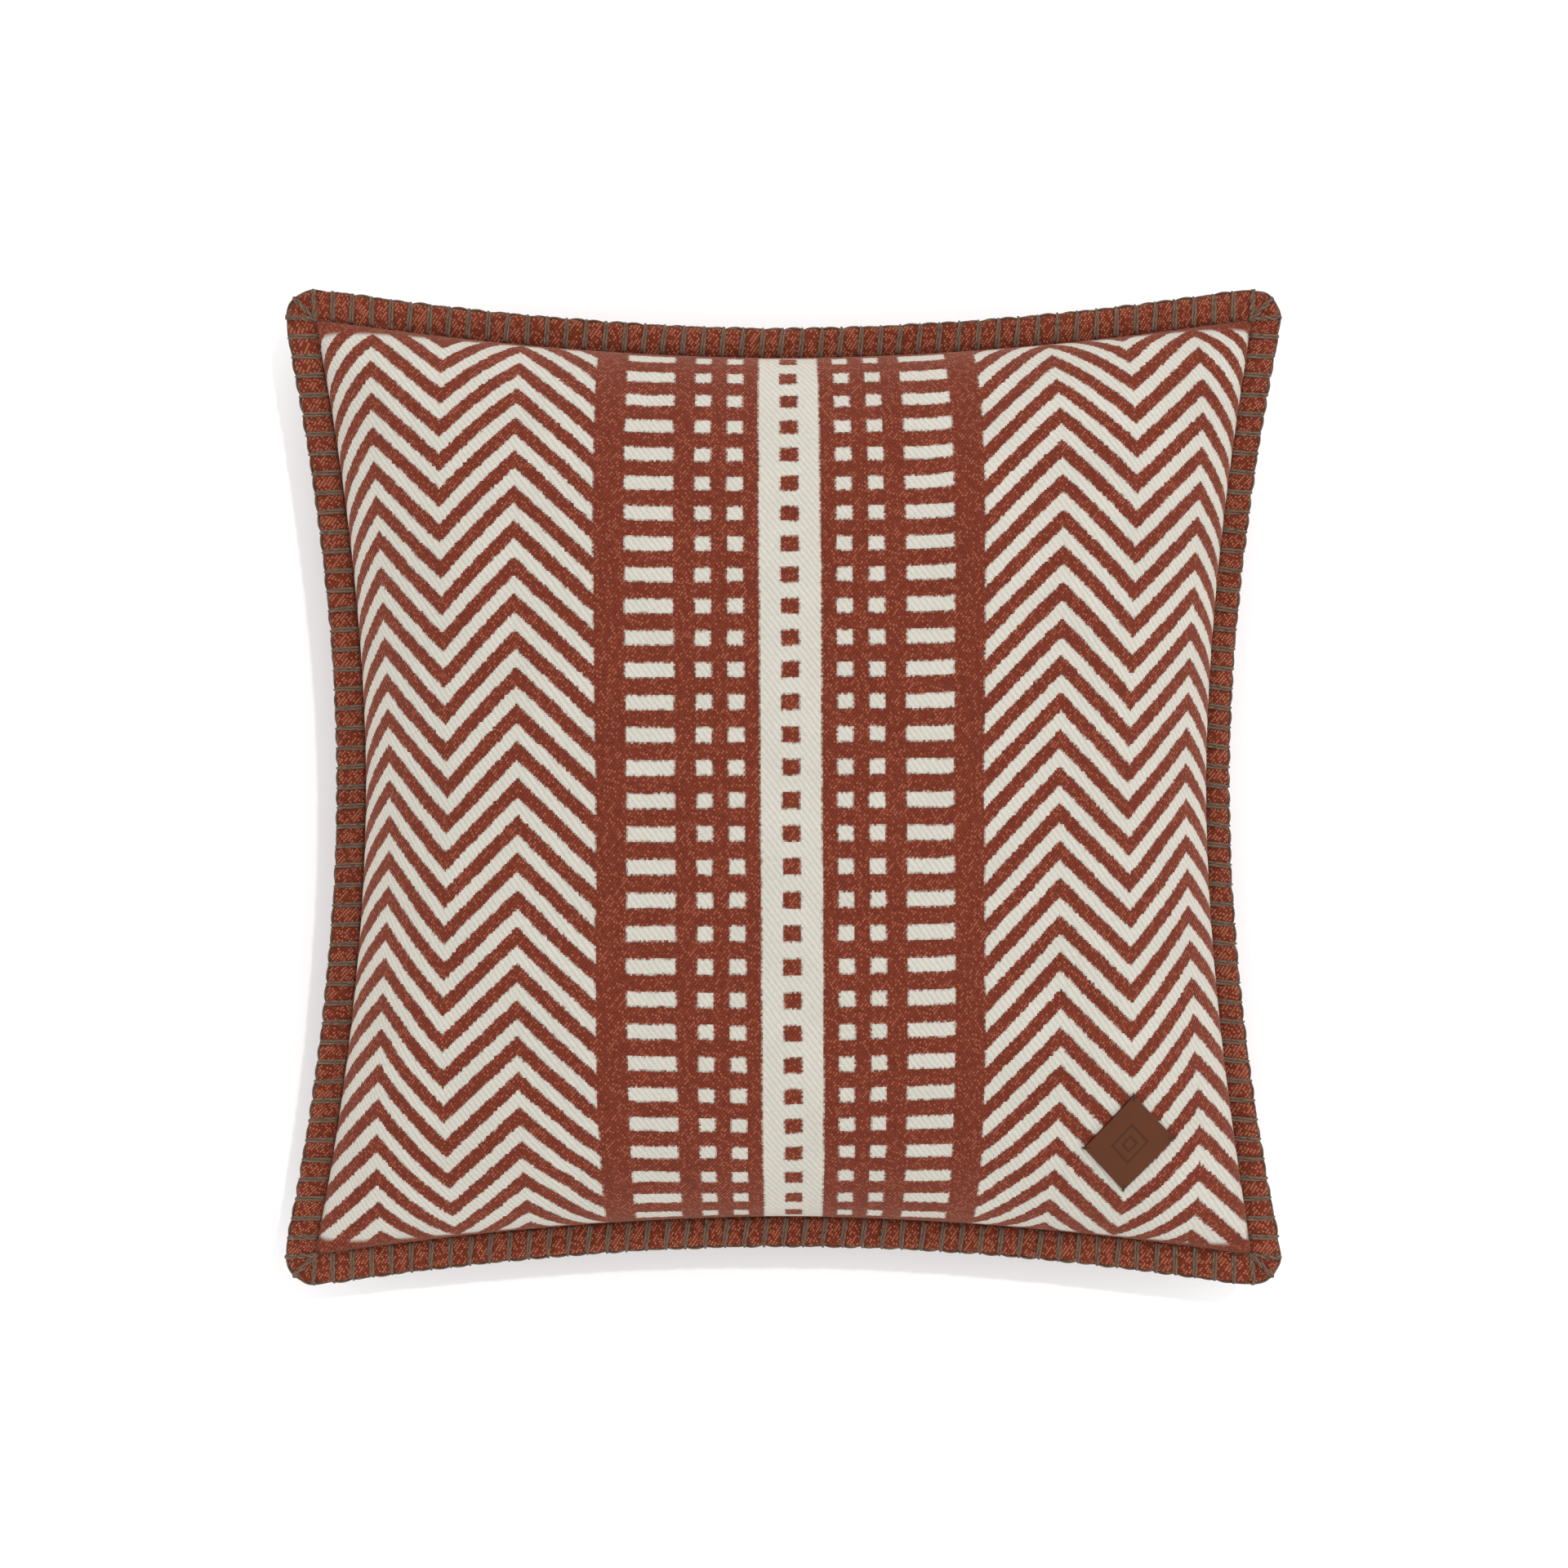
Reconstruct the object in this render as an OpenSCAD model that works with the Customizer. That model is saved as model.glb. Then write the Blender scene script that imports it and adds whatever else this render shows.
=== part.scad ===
// Square throw pillow: a wool cover with a blanket-stitched flange, a zip in its back, and a loose pad inside.
// It lies on its back. The origin is on the resting plane, below the middle of the cover. +Z is up, to the front.

/* [Cover] */
// Size from corner tip to corner tip, edge yarn included
cover_size = 500; // [460:10:560]
// How far the left and right sides pull in at their middles
side_pull = 26.5; // [15:0.5:30]
// How far the top and bottom sides pull in at their middles
end_pull = 20; // [15:1:30]
// Width of the flange, from the seam to the cut edge
flange_w = 14; // [12:1:18]
// Rounding of the flange's corners
corner_r = 12; // [4:1:16]
// Thickness of the wool cloth
cloth_t = 2.6; // [2.4:0.1:3]

/* [Height] */
// Height of the crown above the flange
crown_h = 80; // [50:1:95]
// Height of the seam above the resting plane, at the middle of a side
seam_height = 58; // [45:1:70]
// How far the seam hangs lower at the corners
corner_drop = 8; // [0:1:12]

/* [Blanket stitch] */
// Thickness of the edge yarn
yarn_d = 2.2; // [1.6:0.1:2.6]
// Stitches along each side
stitch_count = 46; // [30:1:60]
// Length of a stitch's leg across the flange
leg_length = 11.6; // [8:0.2:11.6]

/* [Leather patch] */
// Half of the patch's width, from its middle to a corner
patch_half = 23.5; // [12:1:28]
// Thickness of the leather
patch_t = 1.6; // [1:0.1:2.5]
// Space under the leather, over the brushed nap of the cloth
patch_lift = 0.7; // [0.6:0.1:1.5]

/* [Zip] */
// Distance of the zip below the middle of the back
zip_drop = 48; // [30:1:60]
// Width of the gap between the folded edges of the back panels
placket_w = 10; // [9.6:0.2:12]
// Length of the slider's travel, from closed to open
slider_travel = 268; // [180:1:268]

/* [Hidden] */

rust = [0.57, 0.25, 0.19];
olive = [0.41, 0.37, 0.31];
leather = [0.44, 0.24, 0.16];
cotton = [0.90, 0.88, 0.83];
zip_rust = [0.50, 0.22, 0.16];
metal = [0.55, 0.50, 0.42];

// Half the cover's width to the cut edge of the cloth, inside the yarn
half = cover_size / 2 - yarn_d;
// The outline pulls in like a power curve, and is straight over the last part of each side
pull_end = 0.93;
pull_power = 1.85;
// The crown's section, measured from middle (0) to seam (1), is (1 - t^crown_power)^crown_round
crown_power = 2.4;
crown_round = 0.48;
// Part of the back's fullness at which it touches the resting plane
rest_share = 0.385;
// The cloth is drawn this much too deep and then cut off at the resting plane
rest_cut = 0.3;
// Half the number of cells across the crown
crown_cells = 9;
// Space between layers that lie on each other
lap_gap = 0.05;
// Space between the cut edge of the cloth and the yarn that wraps it, on a side and on a rounded corner
edge_gap = 0.4;
corner_gap = 1;
// The straight run of stitches ends here on each side, before the corner
stitch_span = 0.965;

// The folded edges of the back panels, and the zip stacked on them
hem_top = 2 * cloth_t;
hem_depth = 12;
hem_half = 157;
placket_half = 172;
tape_t = 0.5;
tape_w = 15;
tape_over = 7;
coil_h = 1.7;
coil_w = 2.4;
coil_tooth = 0.9;
coil_pitch = 2;
chain_gap = 0.6;
stop_length = 2.5;
zip_thread_y = placket_w / 2 + 8;
zip_stitch = 4.4;
zip_stitch_pitch = 6;
groove_half = hem_half - 4;
groove_w = 1.8;
groove_h = 0.9;

slider_length = 11;
slider_w = 9;
// The coils run past the slider by half its length at each end of its travel
coil_length = slider_travel + 2 * slider_length;
slider_plate_t = 1;
slider_clear = 0.3;
slider_x = coil_length / 2 - slider_length / 2 - 1.5;
slider_low = hem_top - coil_h - slider_clear;
bail_w = 2;
bail_t = 0.6;
bail_room = 1.3;
pull_bar_r = 0.4;
pull_bar_x = 2.2;
pull_w = 6.4;
pull_t = 0.8;
pull_length = 25;

// The pad inside: its rim lies this far inside the cover's seam, and stands this high on each side of it
pad_inset = 12;
pad_gap = 0.8;
rim_half = 1;
casing_t = 0.8;
fill_depth = 0.9;
pad_floor = hem_top + tape_t + slider_clear + slider_plate_t + 0.7;

crown_lines = [for (i = [-crown_cells : crown_cells]) sin(90 * i / crown_cells)];
cover_lines = concat([-2, -1.5], crown_lines, [1.5, 2]);

// ---- shape of the cover ----
// Places on the cover are (s, t): 0 in the middle, 1 at the seam and 2 at the cut edge, along X and along Y.

function pull_in(share) = 1 - pow(min(1, abs(share) / pull_end), pull_power);

function across(t, edge) =
  sign(t) * (abs(t) <= 1 ? abs(t) * (edge - flange_w) : edge + (abs(t) - 2) * flange_w);

function share(t) = across(t, half) / half;

function corner_cut(s, t) =
  corner_r * (1 - sqrt(0.5)) * max(0, abs(s) - 1) * max(0, abs(t) - 1);

function plan(s, t) = [
  across(s, half - side_pull * pull_in(share(t))) - sign(s) * corner_cut(s, t),
  across(t, half - end_pull * pull_in(share(s))) - sign(t) * corner_cut(s, t)
];

function inward(p, depth) = p * (1 - depth / half);

function seam_z(s, t) = seam_height - corner_drop * pow(share(s) * share(t), 2);

function swell(t) = pow(max(0, 1 - pow(abs(t), crown_power)), crown_round);

function front_z(s, t) = seam_z(s, t) + cloth_t + crown_h * swell(s) * swell(t);

function under_front_z(s, t) = seam_z(s, t) + lap_gap + crown_h * swell(s) * swell(t);

// Share of the way down to the resting plane, which it meets without a crease
function fullness(s, t) = min(1, max(0, 1 - s * s) * max(0, 1 - t * t) / rest_share);

function back_z(s, t, top, floor_z) = floor_z + (top - floor_z) * pow(1 - fullness(s, t), 2);

function on_flange(s, t) = max(abs(s), abs(t)) > 1;

function point(p, z) = [p[0], p[1], z];

// A closed solid between two sheets of points over the same lines
module sheet_solid(lines, upper, lower) {
  n = len(lines);
  last = n - 1;
  below = n * n;
  points = concat(
    [for (s = lines, t = lines) upper(s, t)],
    [for (s = lines, t = lines) lower(s, t)]
  );
  faces = [
    for (i = [0 : last - 1], j = [0 : last - 1])
      let (a = i * n + j, b = a + 1, d = a + n, c = d + 1)
        each [[a, b, c], [a, c, d], [below + c, below + b, below + a], [below + d, below + c, below + a]],
    for (k = [0 : last - 1], turn = [0 : 3])
      let (
        from = [k * n, (k + 1) * n + last, k + 1, last * n + k][turn],
        to = [(k + 1) * n, k * n + last, k, last * n + k + 1][turn]
      )
        each [[from, to, below + to], [from, below + to, below + from]]
  ];
  polyhedron(points = points, faces = faces);
}

// ---- threads ----

// One straight length of yarn between two points
module strand(from, to, r) {
  way = to - from;
  length = norm(way);
  translate(from)
    rotate([0, acos(way[2] / length), atan2(way[1], way[0])])
      cylinder(h = length, r = r, $fn = 6);
}

// Place along one side: side 0 is the top, then right, bottom and left
function side_place(side, along, out) =
  [[along, out], [out, -along], [-along, -out], [-out, along]][side];

// The same place as a point, moved outward and up from the seam's height
function side_point(side, along, out, over, lift) =
  let (place = side_place(side, along, out))
    point(plan(place[0], place[1]) + side_place(side, 0, 1) * over, seam_z(place[0], place[1]) + lift);

// The part of a stitch that wraps the flange: a leg on each face, joined round the cut edge
module stitch_loop(root, edge, room) {
  way = edge - root;
  length = norm(way);
  gap = cloth_t + 3 * lap_gap;
  translate(root)
    rotate([0, -asin(way[2] / length), atan2(way[1], way[0])])
      rotate([90, 0, 0])
        linear_extrude(height = yarn_d * 0.9, center = true)
          difference() {
            translate([0, -gap - yarn_d]) square([length + yarn_d, 2 * (gap + yarn_d)]);
            translate([-1, -gap]) square([length + room + 1, 2 * gap]);
          }
}

// One blanket stitch and the run along the edge to the next one
module blanket_stitch(side, along, next) {
  run_r = yarn_d * 0.38;
  run_over = yarn_d - run_r;
  union() {
    stitch_loop(
      side_point(side, along, 2 - leg_length / flange_w, 0, 0),
      side_point(side, along, 2, 0, 0),
      edge_gap
    );
    strand(side_point(side, along, 2, run_over, 0), side_point(side, next, 2, run_over, 0), run_r);
  }
}

function stitch_place(k) = -stitch_span + 2 * stitch_span * k / stitch_count;

module edge_yarn(side) {
  color(olive)
    for (k = [0 : stitch_count - 1])
      blanket_stitch(side, stitch_place(k + 0.05), stitch_place(k + 0.92));
}

// Stitches of one length, in a row between two points
module thread_row(from, to, length, pitch, r) {
  way = to - from;
  unit = way / norm(way);
  for (k = [0 : floor((norm(way) - length) / pitch)])
    strand(from + unit * k * pitch, from + unit * (k * pitch + length), r);
}

// ---- cover ----

module front_panel() {
  color(rust)
    sheet_solid(
      cover_lines,
      function(s, t) point(plan(s, t), front_z(s, t)),
      function(s, t) on_flange(s, t)
        ? point(plan(s, t), seam_z(s, t) + lap_gap)
        : point(inward(plan(s, t), cloth_t), under_front_z(s, t))
    );
}

module back_cloth() {
  sheet_solid(
    cover_lines,
    function(s, t) on_flange(s, t)
      ? point(plan(s, t), seam_z(s, t) - lap_gap)
      : point(inward(plan(s, t), cloth_t), back_z(s, t, seam_z(s, t) - lap_gap, cloth_t)),
    function(s, t) point(plan(s, t), back_z(s, t, seam_z(s, t) - cloth_t, -rest_cut))
  );
}

// One part of the back, on one side of the zip: 1 is above it and -1 below it
module back_panel(side) {
  reach = cover_size;
  color(rust)
    intersection() {
      difference() {
        union() {
          back_cloth();
          translate([-hem_half, -zip_drop - placket_w / 2 - hem_depth, cloth_t / 2])
            cube([2 * hem_half, placket_w + 2 * hem_depth, hem_top - cloth_t / 2]);
        }
        translate([-placket_half, -zip_drop - placket_w / 2, -2 * rest_cut])
          cube([2 * placket_half, placket_w, pad_floor]);
        translate([-groove_half, -zip_drop + side * zip_thread_y - groove_w / 2, -2 * rest_cut])
          cube([2 * groove_half, groove_w, groove_h + 2 * rest_cut]);
      }
      translate([-reach, side > 0 ? -zip_drop : -zip_drop - reach, 0])
        cube([2 * reach, reach, reach]);
    }
}

// Lockstitches that hold front and back together, seen in the crease beside the crown
module cover_seam_thread() {
  seam_at = 1.06;
  seam_stitches = 18;
  r = 0.35;
  lift = cloth_t + r + lap_gap;
  color(rust)
    for (side = [0 : 3], k = [0 : seam_stitches - 1], face = [-1, 1])
      strand(
        side_point(side, -1 + 2 * (k + 0.1) / seam_stitches, seam_at, 0, face * lift),
        side_point(side, -1 + 2 * (k + 0.75) / seam_stitches, seam_at, 0, face * lift),
        r
      );
}

// Three stitches that fan out from one point over each rounded corner, on both faces
module edge_yarn_corners() {
  fan_from = 1.2;
  fan_side = 1.45;
  color(olive)
    for (x = [-1, 1], y = [-1, 1], way = [[2, fan_side], [2, 2], [fan_side, 2]]) {
      s = way[0] * x;
      t = way[1] * y;
      root_s = x * (fan_from + max(0, way[0] - way[1]) * 0.4);
      root_t = y * (fan_from + max(0, way[1] - way[0]) * 0.4);
      stitch_loop(
        point(plan(root_s, root_t), seam_z(root_s, root_t)),
        point(plan(s, t), seam_z(s, t)),
        corner_gap
      );
    }
}

// ---- leather patch ----

patch_s = 0.75;
patch_t_at = -0.768;
patch_cells = 6;

// A point of the diamond: a and b run from -1 to 1 along its two pairs of sides
function patch_point(a, b, lift) =
  let (
    s = patch_s + (a + b) / 2 * patch_half / (half - flange_w),
    t = patch_t_at + (a - b) / 2 * patch_half / (half - flange_w)
  )
    point(plan(s, t), front_z(s, t) + lift);

// The diamond lies on the crown and bends with it, with one corner towards the top
module leather_patch() {
  lines = [for (i = [0 : patch_cells]) -1 + 2 * i / patch_cells];
  color(leather)
    sheet_solid(
      lines,
      function(a, b) patch_point(a, -b, patch_lift + patch_t),
      function(a, b) patch_point(a, -b, patch_lift)
    );
}

// A knotted stitch in each corner
module patch_tacks() {
  tack_r = 0.7;
  inset = 0.88;
  color(olive)
    for (a = [-inset, inset], b = [-inset, inset])
      translate(patch_point(a, b, patch_lift + patch_t + tack_r * 1.3 + lap_gap)) sphere(r = tack_r, $fn = 24);
}

// ---- zip ----

// Places on the zip are measured from its centre line, y outward to one side: 1 is above and -1 below
module zip_side(side) {
  translate([0, -zip_drop, 0])
    mirror([0, side > 0 ? 0 : 1, 0])
      children();
}

module zip_tape(side) {
  color(zip_rust)
    zip_side(side)
      translate([-coil_length / 2 - tape_over, chain_gap, hem_top])
        cube([coil_length + 2 * tape_over, tape_w, tape_t]);
}

// One row of the chain: a cord with a tooth at each turn, hanging under the tape
module zip_coil(side) {
  turns = floor(coil_length / coil_pitch);
  outline = concat(
    [[coil_length / 2, chain_gap + coil_w], [-coil_length / 2, chain_gap + coil_w]],
    [
      for (k = [0 : turns - 1], corner = [[0, 1], [0.3, 0], [0.7, 0], [1, 1]])
        [-coil_length / 2 + (k + corner[0]) * coil_pitch, chain_gap + corner[1] * coil_tooth]
    ]
  );
  color(zip_rust)
    zip_side(side)
      translate([0, 0, hem_top - coil_h])
        linear_extrude(height = coil_h)
          polygon(outline);
}

// A clip on the end of each coil, beyond the closed slider
module zip_top_stops() {
  color(metal)
    for (side = [-1, 1])
      zip_side(side)
        translate([coil_length / 2, chain_gap, hem_top - coil_h])
          cube([stop_length, coil_w, coil_h]);
}

// One clip across both coils at the open end
module zip_bottom_stop() {
  color(metal)
    translate([-coil_length / 2 - stop_length, -zip_drop - chain_gap - coil_w, hem_top - coil_h])
      cube([stop_length, 2 * (chain_gap + coil_w), coil_h]);
}

// Stitches through hem and tape, sunk in a groove in the back's outer face
module zip_thread(side) {
  r = 0.3;
  reach = groove_half - 1;
  height = groove_h - r - lap_gap;
  color(rust)
    zip_side(side)
      thread_row(
        [-reach, zip_thread_y, height],
        [reach, zip_thread_y, height],
        zip_stitch,
        zip_stitch_pitch,
        r
      );
}

// The slider's outline in plan: two wings at its front, where the coils enter, and a narrower tail
module slider_plate(height) {
  front = slider_length / 2;
  wide = slider_w / 2;
  tail = wide * 0.86;
  linear_extrude(height = height)
    difference() {
      polygon([
        [-front, -tail], [-front, tail], [0, tail], [front * 0.5, wide],
        [front, wide * 0.9], [front, -wide * 0.9], [front * 0.5, -wide], [0, -tail]
      ]);
      translate([front * 1.3, 0]) circle(r = front * 0.45, $fn = 32);
    }
}

// Two plates round the chain, a wedge between them at the front, lips that guide the coils, and the bail
module zip_slider() {
  low = slider_low;
  top = hem_top + tape_t + slider_clear;
  lip_h = hem_top - slider_clear - low;
  lip_t = 0.5;
  lip_y = chain_gap + coil_w + slider_clear;
  wedge = [2.6, 0.6];
  bail_low = low - slider_plate_t - bail_room - bail_t;
  bail_half = 3.6;
  color(metal)
    translate([slider_x, -zip_drop, 0])
      union() {
        translate([0, 0, low - slider_plate_t]) slider_plate(slider_plate_t);
        translate([0, 0, top]) slider_plate(slider_plate_t);
        translate([0.2, -wedge[1] / 2, low - slider_plate_t / 2])
          cube([wedge[0], wedge[1], top - low + slider_plate_t]);
        for (y = [lip_y, -lip_y - lip_t])
          translate([-slider_length / 2 + 0.5, y, low - slider_plate_t / 2])
            cube([slider_length * 0.45, lip_t, lip_h + slider_plate_t / 2]);
        translate([-bail_half, -bail_w / 2, bail_low]) cube([2 * bail_half, bail_w, bail_t]);
        for (x = [-bail_half, bail_half - bail_t])
          translate([x, -bail_w / 2, bail_low])
            cube([bail_t, bail_w, low - slider_plate_t / 2 - bail_low]);
      }
}

pull_axis_z = slider_low - slider_plate_t - bail_room / 2;

// A bar through the bail, two arms past it and a tab, lying back along the closed chain
module zip_pull() {
  arm_w = 1.1;
  bar = pull_w;
  tab_from = 7;
  hole_r = 1.4;
  color(metal)
    translate([slider_x + pull_bar_x, -zip_drop, pull_axis_z])
      union() {
        rotate([90, 0, 0]) cylinder(h = bar - 0.4, r = pull_bar_r, center = true, $fn = 32);
        translate([0, 0, -pull_t / 2])
          linear_extrude(height = pull_t)
            difference() {
              union() {
                for (y = [-bar / 2, bar / 2 - arm_w])
                  translate([-tab_from - 0.5, y]) square([tab_from + 0.8, arm_w]);
                translate([-pull_length + pull_w / 2, -pull_w / 2])
                  square([pull_length - pull_w / 2 - tab_from, pull_w]);
                translate([-pull_length + pull_w / 2, 0]) circle(r = pull_w / 2, $fn = 48);
              }
              translate([-pull_length + pull_w / 2, 0]) circle(r = hole_r, $fn = 32);
            }
      }
}

// A blank folded satin strip, sewn inside the cover above the zip
module care_label() {
  label = [32, 44];
  ply_t = 0.35;
  color(cotton)
    for (ply = [0, 1])
      translate([50, -zip_drop + placket_w / 2 + hem_depth + 1, cloth_t + 0.1 + ply * (ply_t + lap_gap)])
        cube([label[0], label[1], ply_t]);
}

// ---- pad ----
// The depth of a face is measured inward from the outer face of the pad's casing.

function pad_plan(s, t, depth) = inward(plan(s, t), pad_inset + depth);

function pad_front_z(s, t, depth) =
  seam_z(s, t) + rim_half - depth + (crown_h - pad_gap - rim_half) * swell(s) * swell(t);

function pad_back_z(s, t, depth) =
  back_z(s, t, seam_z(s, t) - rim_half + depth, pad_floor + depth);

module pad_casing_front() {
  color(cotton)
    sheet_solid(
      crown_lines,
      function(s, t) point(pad_plan(s, t, 0), pad_front_z(s, t, 0)),
      function(s, t) point(pad_plan(s, t, casing_t), pad_front_z(s, t, casing_t))
    );
}

module pad_casing_back() {
  color(cotton)
    sheet_solid(
      crown_lines,
      function(s, t) point(pad_plan(s, t, casing_t), pad_back_z(s, t, casing_t)),
      function(s, t) point(pad_plan(s, t, 0), pad_back_z(s, t, 0))
    );
}

module pad_fill() {
  color("white")
    sheet_solid(
      crown_lines,
      function(s, t) point(pad_plan(s, t, fill_depth), pad_front_z(s, t, fill_depth)),
      function(s, t) point(pad_plan(s, t, fill_depth), pad_back_z(s, t, fill_depth))
    );
}

// Overlock loops round the rim that join the two halves of the pad's casing
module pad_seam_thread() {
  loops = 16;
  r = 0.25;
  over = 0.35;
  color(cotton)
    for (side = [0 : 3], k = [0 : loops - 1]) {
      place = side_place(side, -0.97 + 1.94 * (k + 0.5) / loops, 1);
      p = pad_plan(place[0], place[1], 0) + side_place(side, 0, 1) * over;
      z = seam_z(place[0], place[1]);
      strand(point(p, z - rim_half), point(p, z + rim_half), r);
    }
}

front_panel();
back_panel(1);  // back_panel_upper
back_panel(-1);  // back_panel_lower
cover_seam_thread();
edge_yarn(0);  // edge_yarn_top
edge_yarn(1);  // edge_yarn_right
edge_yarn(2);  // edge_yarn_bottom
edge_yarn(3);  // edge_yarn_left
edge_yarn_corners();
leather_patch();
patch_tacks();
zip_tape(1);  // zip_tape_upper
zip_tape(-1);  // zip_tape_lower
zip_coil(1);  // zip_coil_upper
zip_coil(-1);  // zip_coil_lower
zip_top_stops();
zip_bottom_stop();
zip_thread(1);  // zip_thread_upper
zip_thread(-1);  // zip_thread_lower
zip_slider();
zip_pull();
care_label();
pad_casing_front();
pad_casing_back();
pad_fill();
pad_seam_thread();
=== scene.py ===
"""A throw pillow: the looks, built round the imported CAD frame.

Lengths are in metres and named angles in degrees, unless a comment says otherwise. Places on the cover are
(s, t), as in the CAD source: 0 in the middle, 1 at the seam and 2 at the cut edge, along X and along Y.
"""

import math

import bpy
import numpy as np
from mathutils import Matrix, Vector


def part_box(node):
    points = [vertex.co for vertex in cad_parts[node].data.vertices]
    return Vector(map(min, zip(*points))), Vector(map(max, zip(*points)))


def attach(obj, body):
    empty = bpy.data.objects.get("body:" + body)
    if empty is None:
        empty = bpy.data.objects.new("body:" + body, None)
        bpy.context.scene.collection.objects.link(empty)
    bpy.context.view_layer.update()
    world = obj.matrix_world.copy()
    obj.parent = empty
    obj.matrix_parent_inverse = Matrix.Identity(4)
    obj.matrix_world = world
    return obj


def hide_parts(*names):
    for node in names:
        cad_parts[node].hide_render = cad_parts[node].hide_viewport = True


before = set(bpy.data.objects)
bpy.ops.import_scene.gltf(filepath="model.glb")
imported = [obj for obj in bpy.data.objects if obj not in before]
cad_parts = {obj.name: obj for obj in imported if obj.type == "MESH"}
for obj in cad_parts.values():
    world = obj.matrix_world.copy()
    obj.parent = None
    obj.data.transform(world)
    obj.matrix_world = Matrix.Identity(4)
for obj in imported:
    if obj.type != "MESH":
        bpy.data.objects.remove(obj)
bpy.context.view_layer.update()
scene = bpy.context.scene

MM = 0.001
rng = np.random.default_rng(7)

# ---- sizes: from the frame where a CAD node shows them ----

front_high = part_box("front_panel")[1]
HALF = front_high.x
FLANGE = 14 * MM
CLOTH = 2.6 * MM
SEAM_HEIGHT = 58 * MM
CROWN = front_high.z - SEAM_HEIGHT - CLOTH
CORNER_DROP = 8 * MM
SIDE_PULL = 26.5 * MM
END_PULL = 20 * MM
PULL_END = 0.93
PULL_POWER = 1.85
CORNER_R = 12 * MM
CROWN_POWER = 2.4
CROWN_ROUND = 0.48
REST_SHARE = 0.385
REST_CUT = 0.3 * MM
LAP = 0.05 * MM
FLANGE_CELLS = 6

ZIP_Y = (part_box("zip_bottom_stop")[0].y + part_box("zip_bottom_stop")[1].y) / 2
GAP_HALF = 5 * MM
GAP_END = 162 * MM
GAP_CLOSED = 174 * MM
TAPE_REACH = 178 * MM
TAIL_FROM = 149 * MM
TAIL_OVER = 3 * MM
TAIL_GAP = 0.05 * MM
TAPE_CLEAR = 0.3 * MM
HEM_DEPTH = 12 * MM
HEM_THREAD = 8 * MM
HEM_REACH = 151 * MM

YARN_R = 1.25 * MM
YARN_STEP = 0.9 * MM
YARN_SEAT = 0.62 * YARN_R
EDGE_YARN_R = 0.85 * YARN_R
EDGE_PITCH = 30 * MM
FAN_PITCH = 11 * MM
PLY_APART = 0.54
PLY_RADIUS = 0.56
STITCHES = 46
STITCH_SPAN = 0.965
LEG_ROOT = 1.1
LEG_PITCH = 70 * MM
THREAD_R = 0.3 * MM
TACK_R = 0.36 * MM
PUFF = 1.8 * MM
SCALLOP = 0.6 * MM
FLUTTER = 0.7 * MM
CREASE = 1.0 * MM
CREASE_HALF = 1.2 * MM

# The filled crown hangs out over the flange, most at this share of its height
BULGE_LEFT = 1.2 * MM
BULGE_RIGHT = 4.4 * MM
BULGE_Y = 0.6 * MM
BULGE_AT = 0.18

# The cloth's length from its middle to the seam, along X and Y. Close to the upper and lower seams its left
# half is gathered less along X, by this share.
CLOTH_X = 253 * MM
CLOTH_Y = 250 * MM
CLOTH_X_EASE = 0.03

# The weave slips a little towards the lower edge. On the right it leans out above the middle and in below
# it, and on the left it leans out except close to the lower edge.
WEAVE_SLIP = 3.8 * MM
LEAN_RIGHT = 4.0 * MM
LEAN_LEFT = 3.2 * MM

# Right of the dashes the weave is drawn up, more the further out, except close to its two seams
LIFT_RIGHT = 5.8 * MM
LIFT_FROM = 80 * MM
LIFT_OVER = 50 * MM

PATCH_LOW, PATCH_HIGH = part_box("leather_patch")
PATCH_HALF = 23.5 * MM
PATCH_WIDE = 0.965
PATCH_TALL = 1.055
PATCH_TURN_WIDE = 4.9
PATCH_TURN_TALL = 0.3
PATCH_LIFT = 0.7 * MM
PATCH_THICK = 1.6 * MM

# A plain mark of two diamonds is pressed into the leather
MARK_RINGS = 2.6 * MM, 6.5 * MM
MARK_HALF = 0.55 * MM
MARK_DEPTH = 0.5 * MM


# ---- shape of the cover ----

def pull_in(part):
    """How much of a side's pull towards the middle there is, at a part of the way along it."""
    return 1 - np.minimum(1, np.abs(part) / PULL_END) ** PULL_POWER


def across(t, edge):
    """How far from the middle a place lies, where the cut edge is at edge."""
    far = np.abs(t)
    return np.sign(t) * np.where(far <= 1, far * (edge - FLANGE), edge + (far - 2) * FLANGE)


def share(t):
    return across(t, HALF) / HALF


def corner_scale(s, t):
    """How much the square corner of the flange shrinks towards the seam's corner to become round."""
    a = np.maximum(np.abs(s) - 1, 0)
    b = np.maximum(np.abs(t) - 1, 0)
    far = np.maximum(np.hypot(a, b), 1e-9)
    cos, sin = a / far, b / far
    radius = CORNER_R / FLANGE
    middle = 1 - radius
    to_side = 1 / np.maximum(np.maximum(cos, sin), 1e-9)
    side = middle * (cos - sin)
    to_arc = middle * (cos + sin) + np.sqrt(np.maximum(radius ** 2 - side ** 2, 0))
    on_arc = np.minimum(cos, sin) > middle * np.maximum(cos, sin)
    return np.where(on_arc, to_arc / to_side, 1.0)


def on_flange(s, t):
    """0 on the crown, rising to 1 at the cut edge."""
    return np.clip(np.maximum(np.abs(s), np.abs(t)) - 1, 0, 1)


def past_seam(s, t):
    """How far a place lies past the seam, in metres: negative on the crown."""
    return (np.maximum(np.abs(s), np.abs(t)) - 1) * np.where(on_flange(s, t) > 0, FLANGE, HALF)


def past_layer(s, t):
    """past_seam in the form of a UV layer."""
    return np.stack([past_seam(s, t), np.zeros_like(s)], axis=-1)


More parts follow.
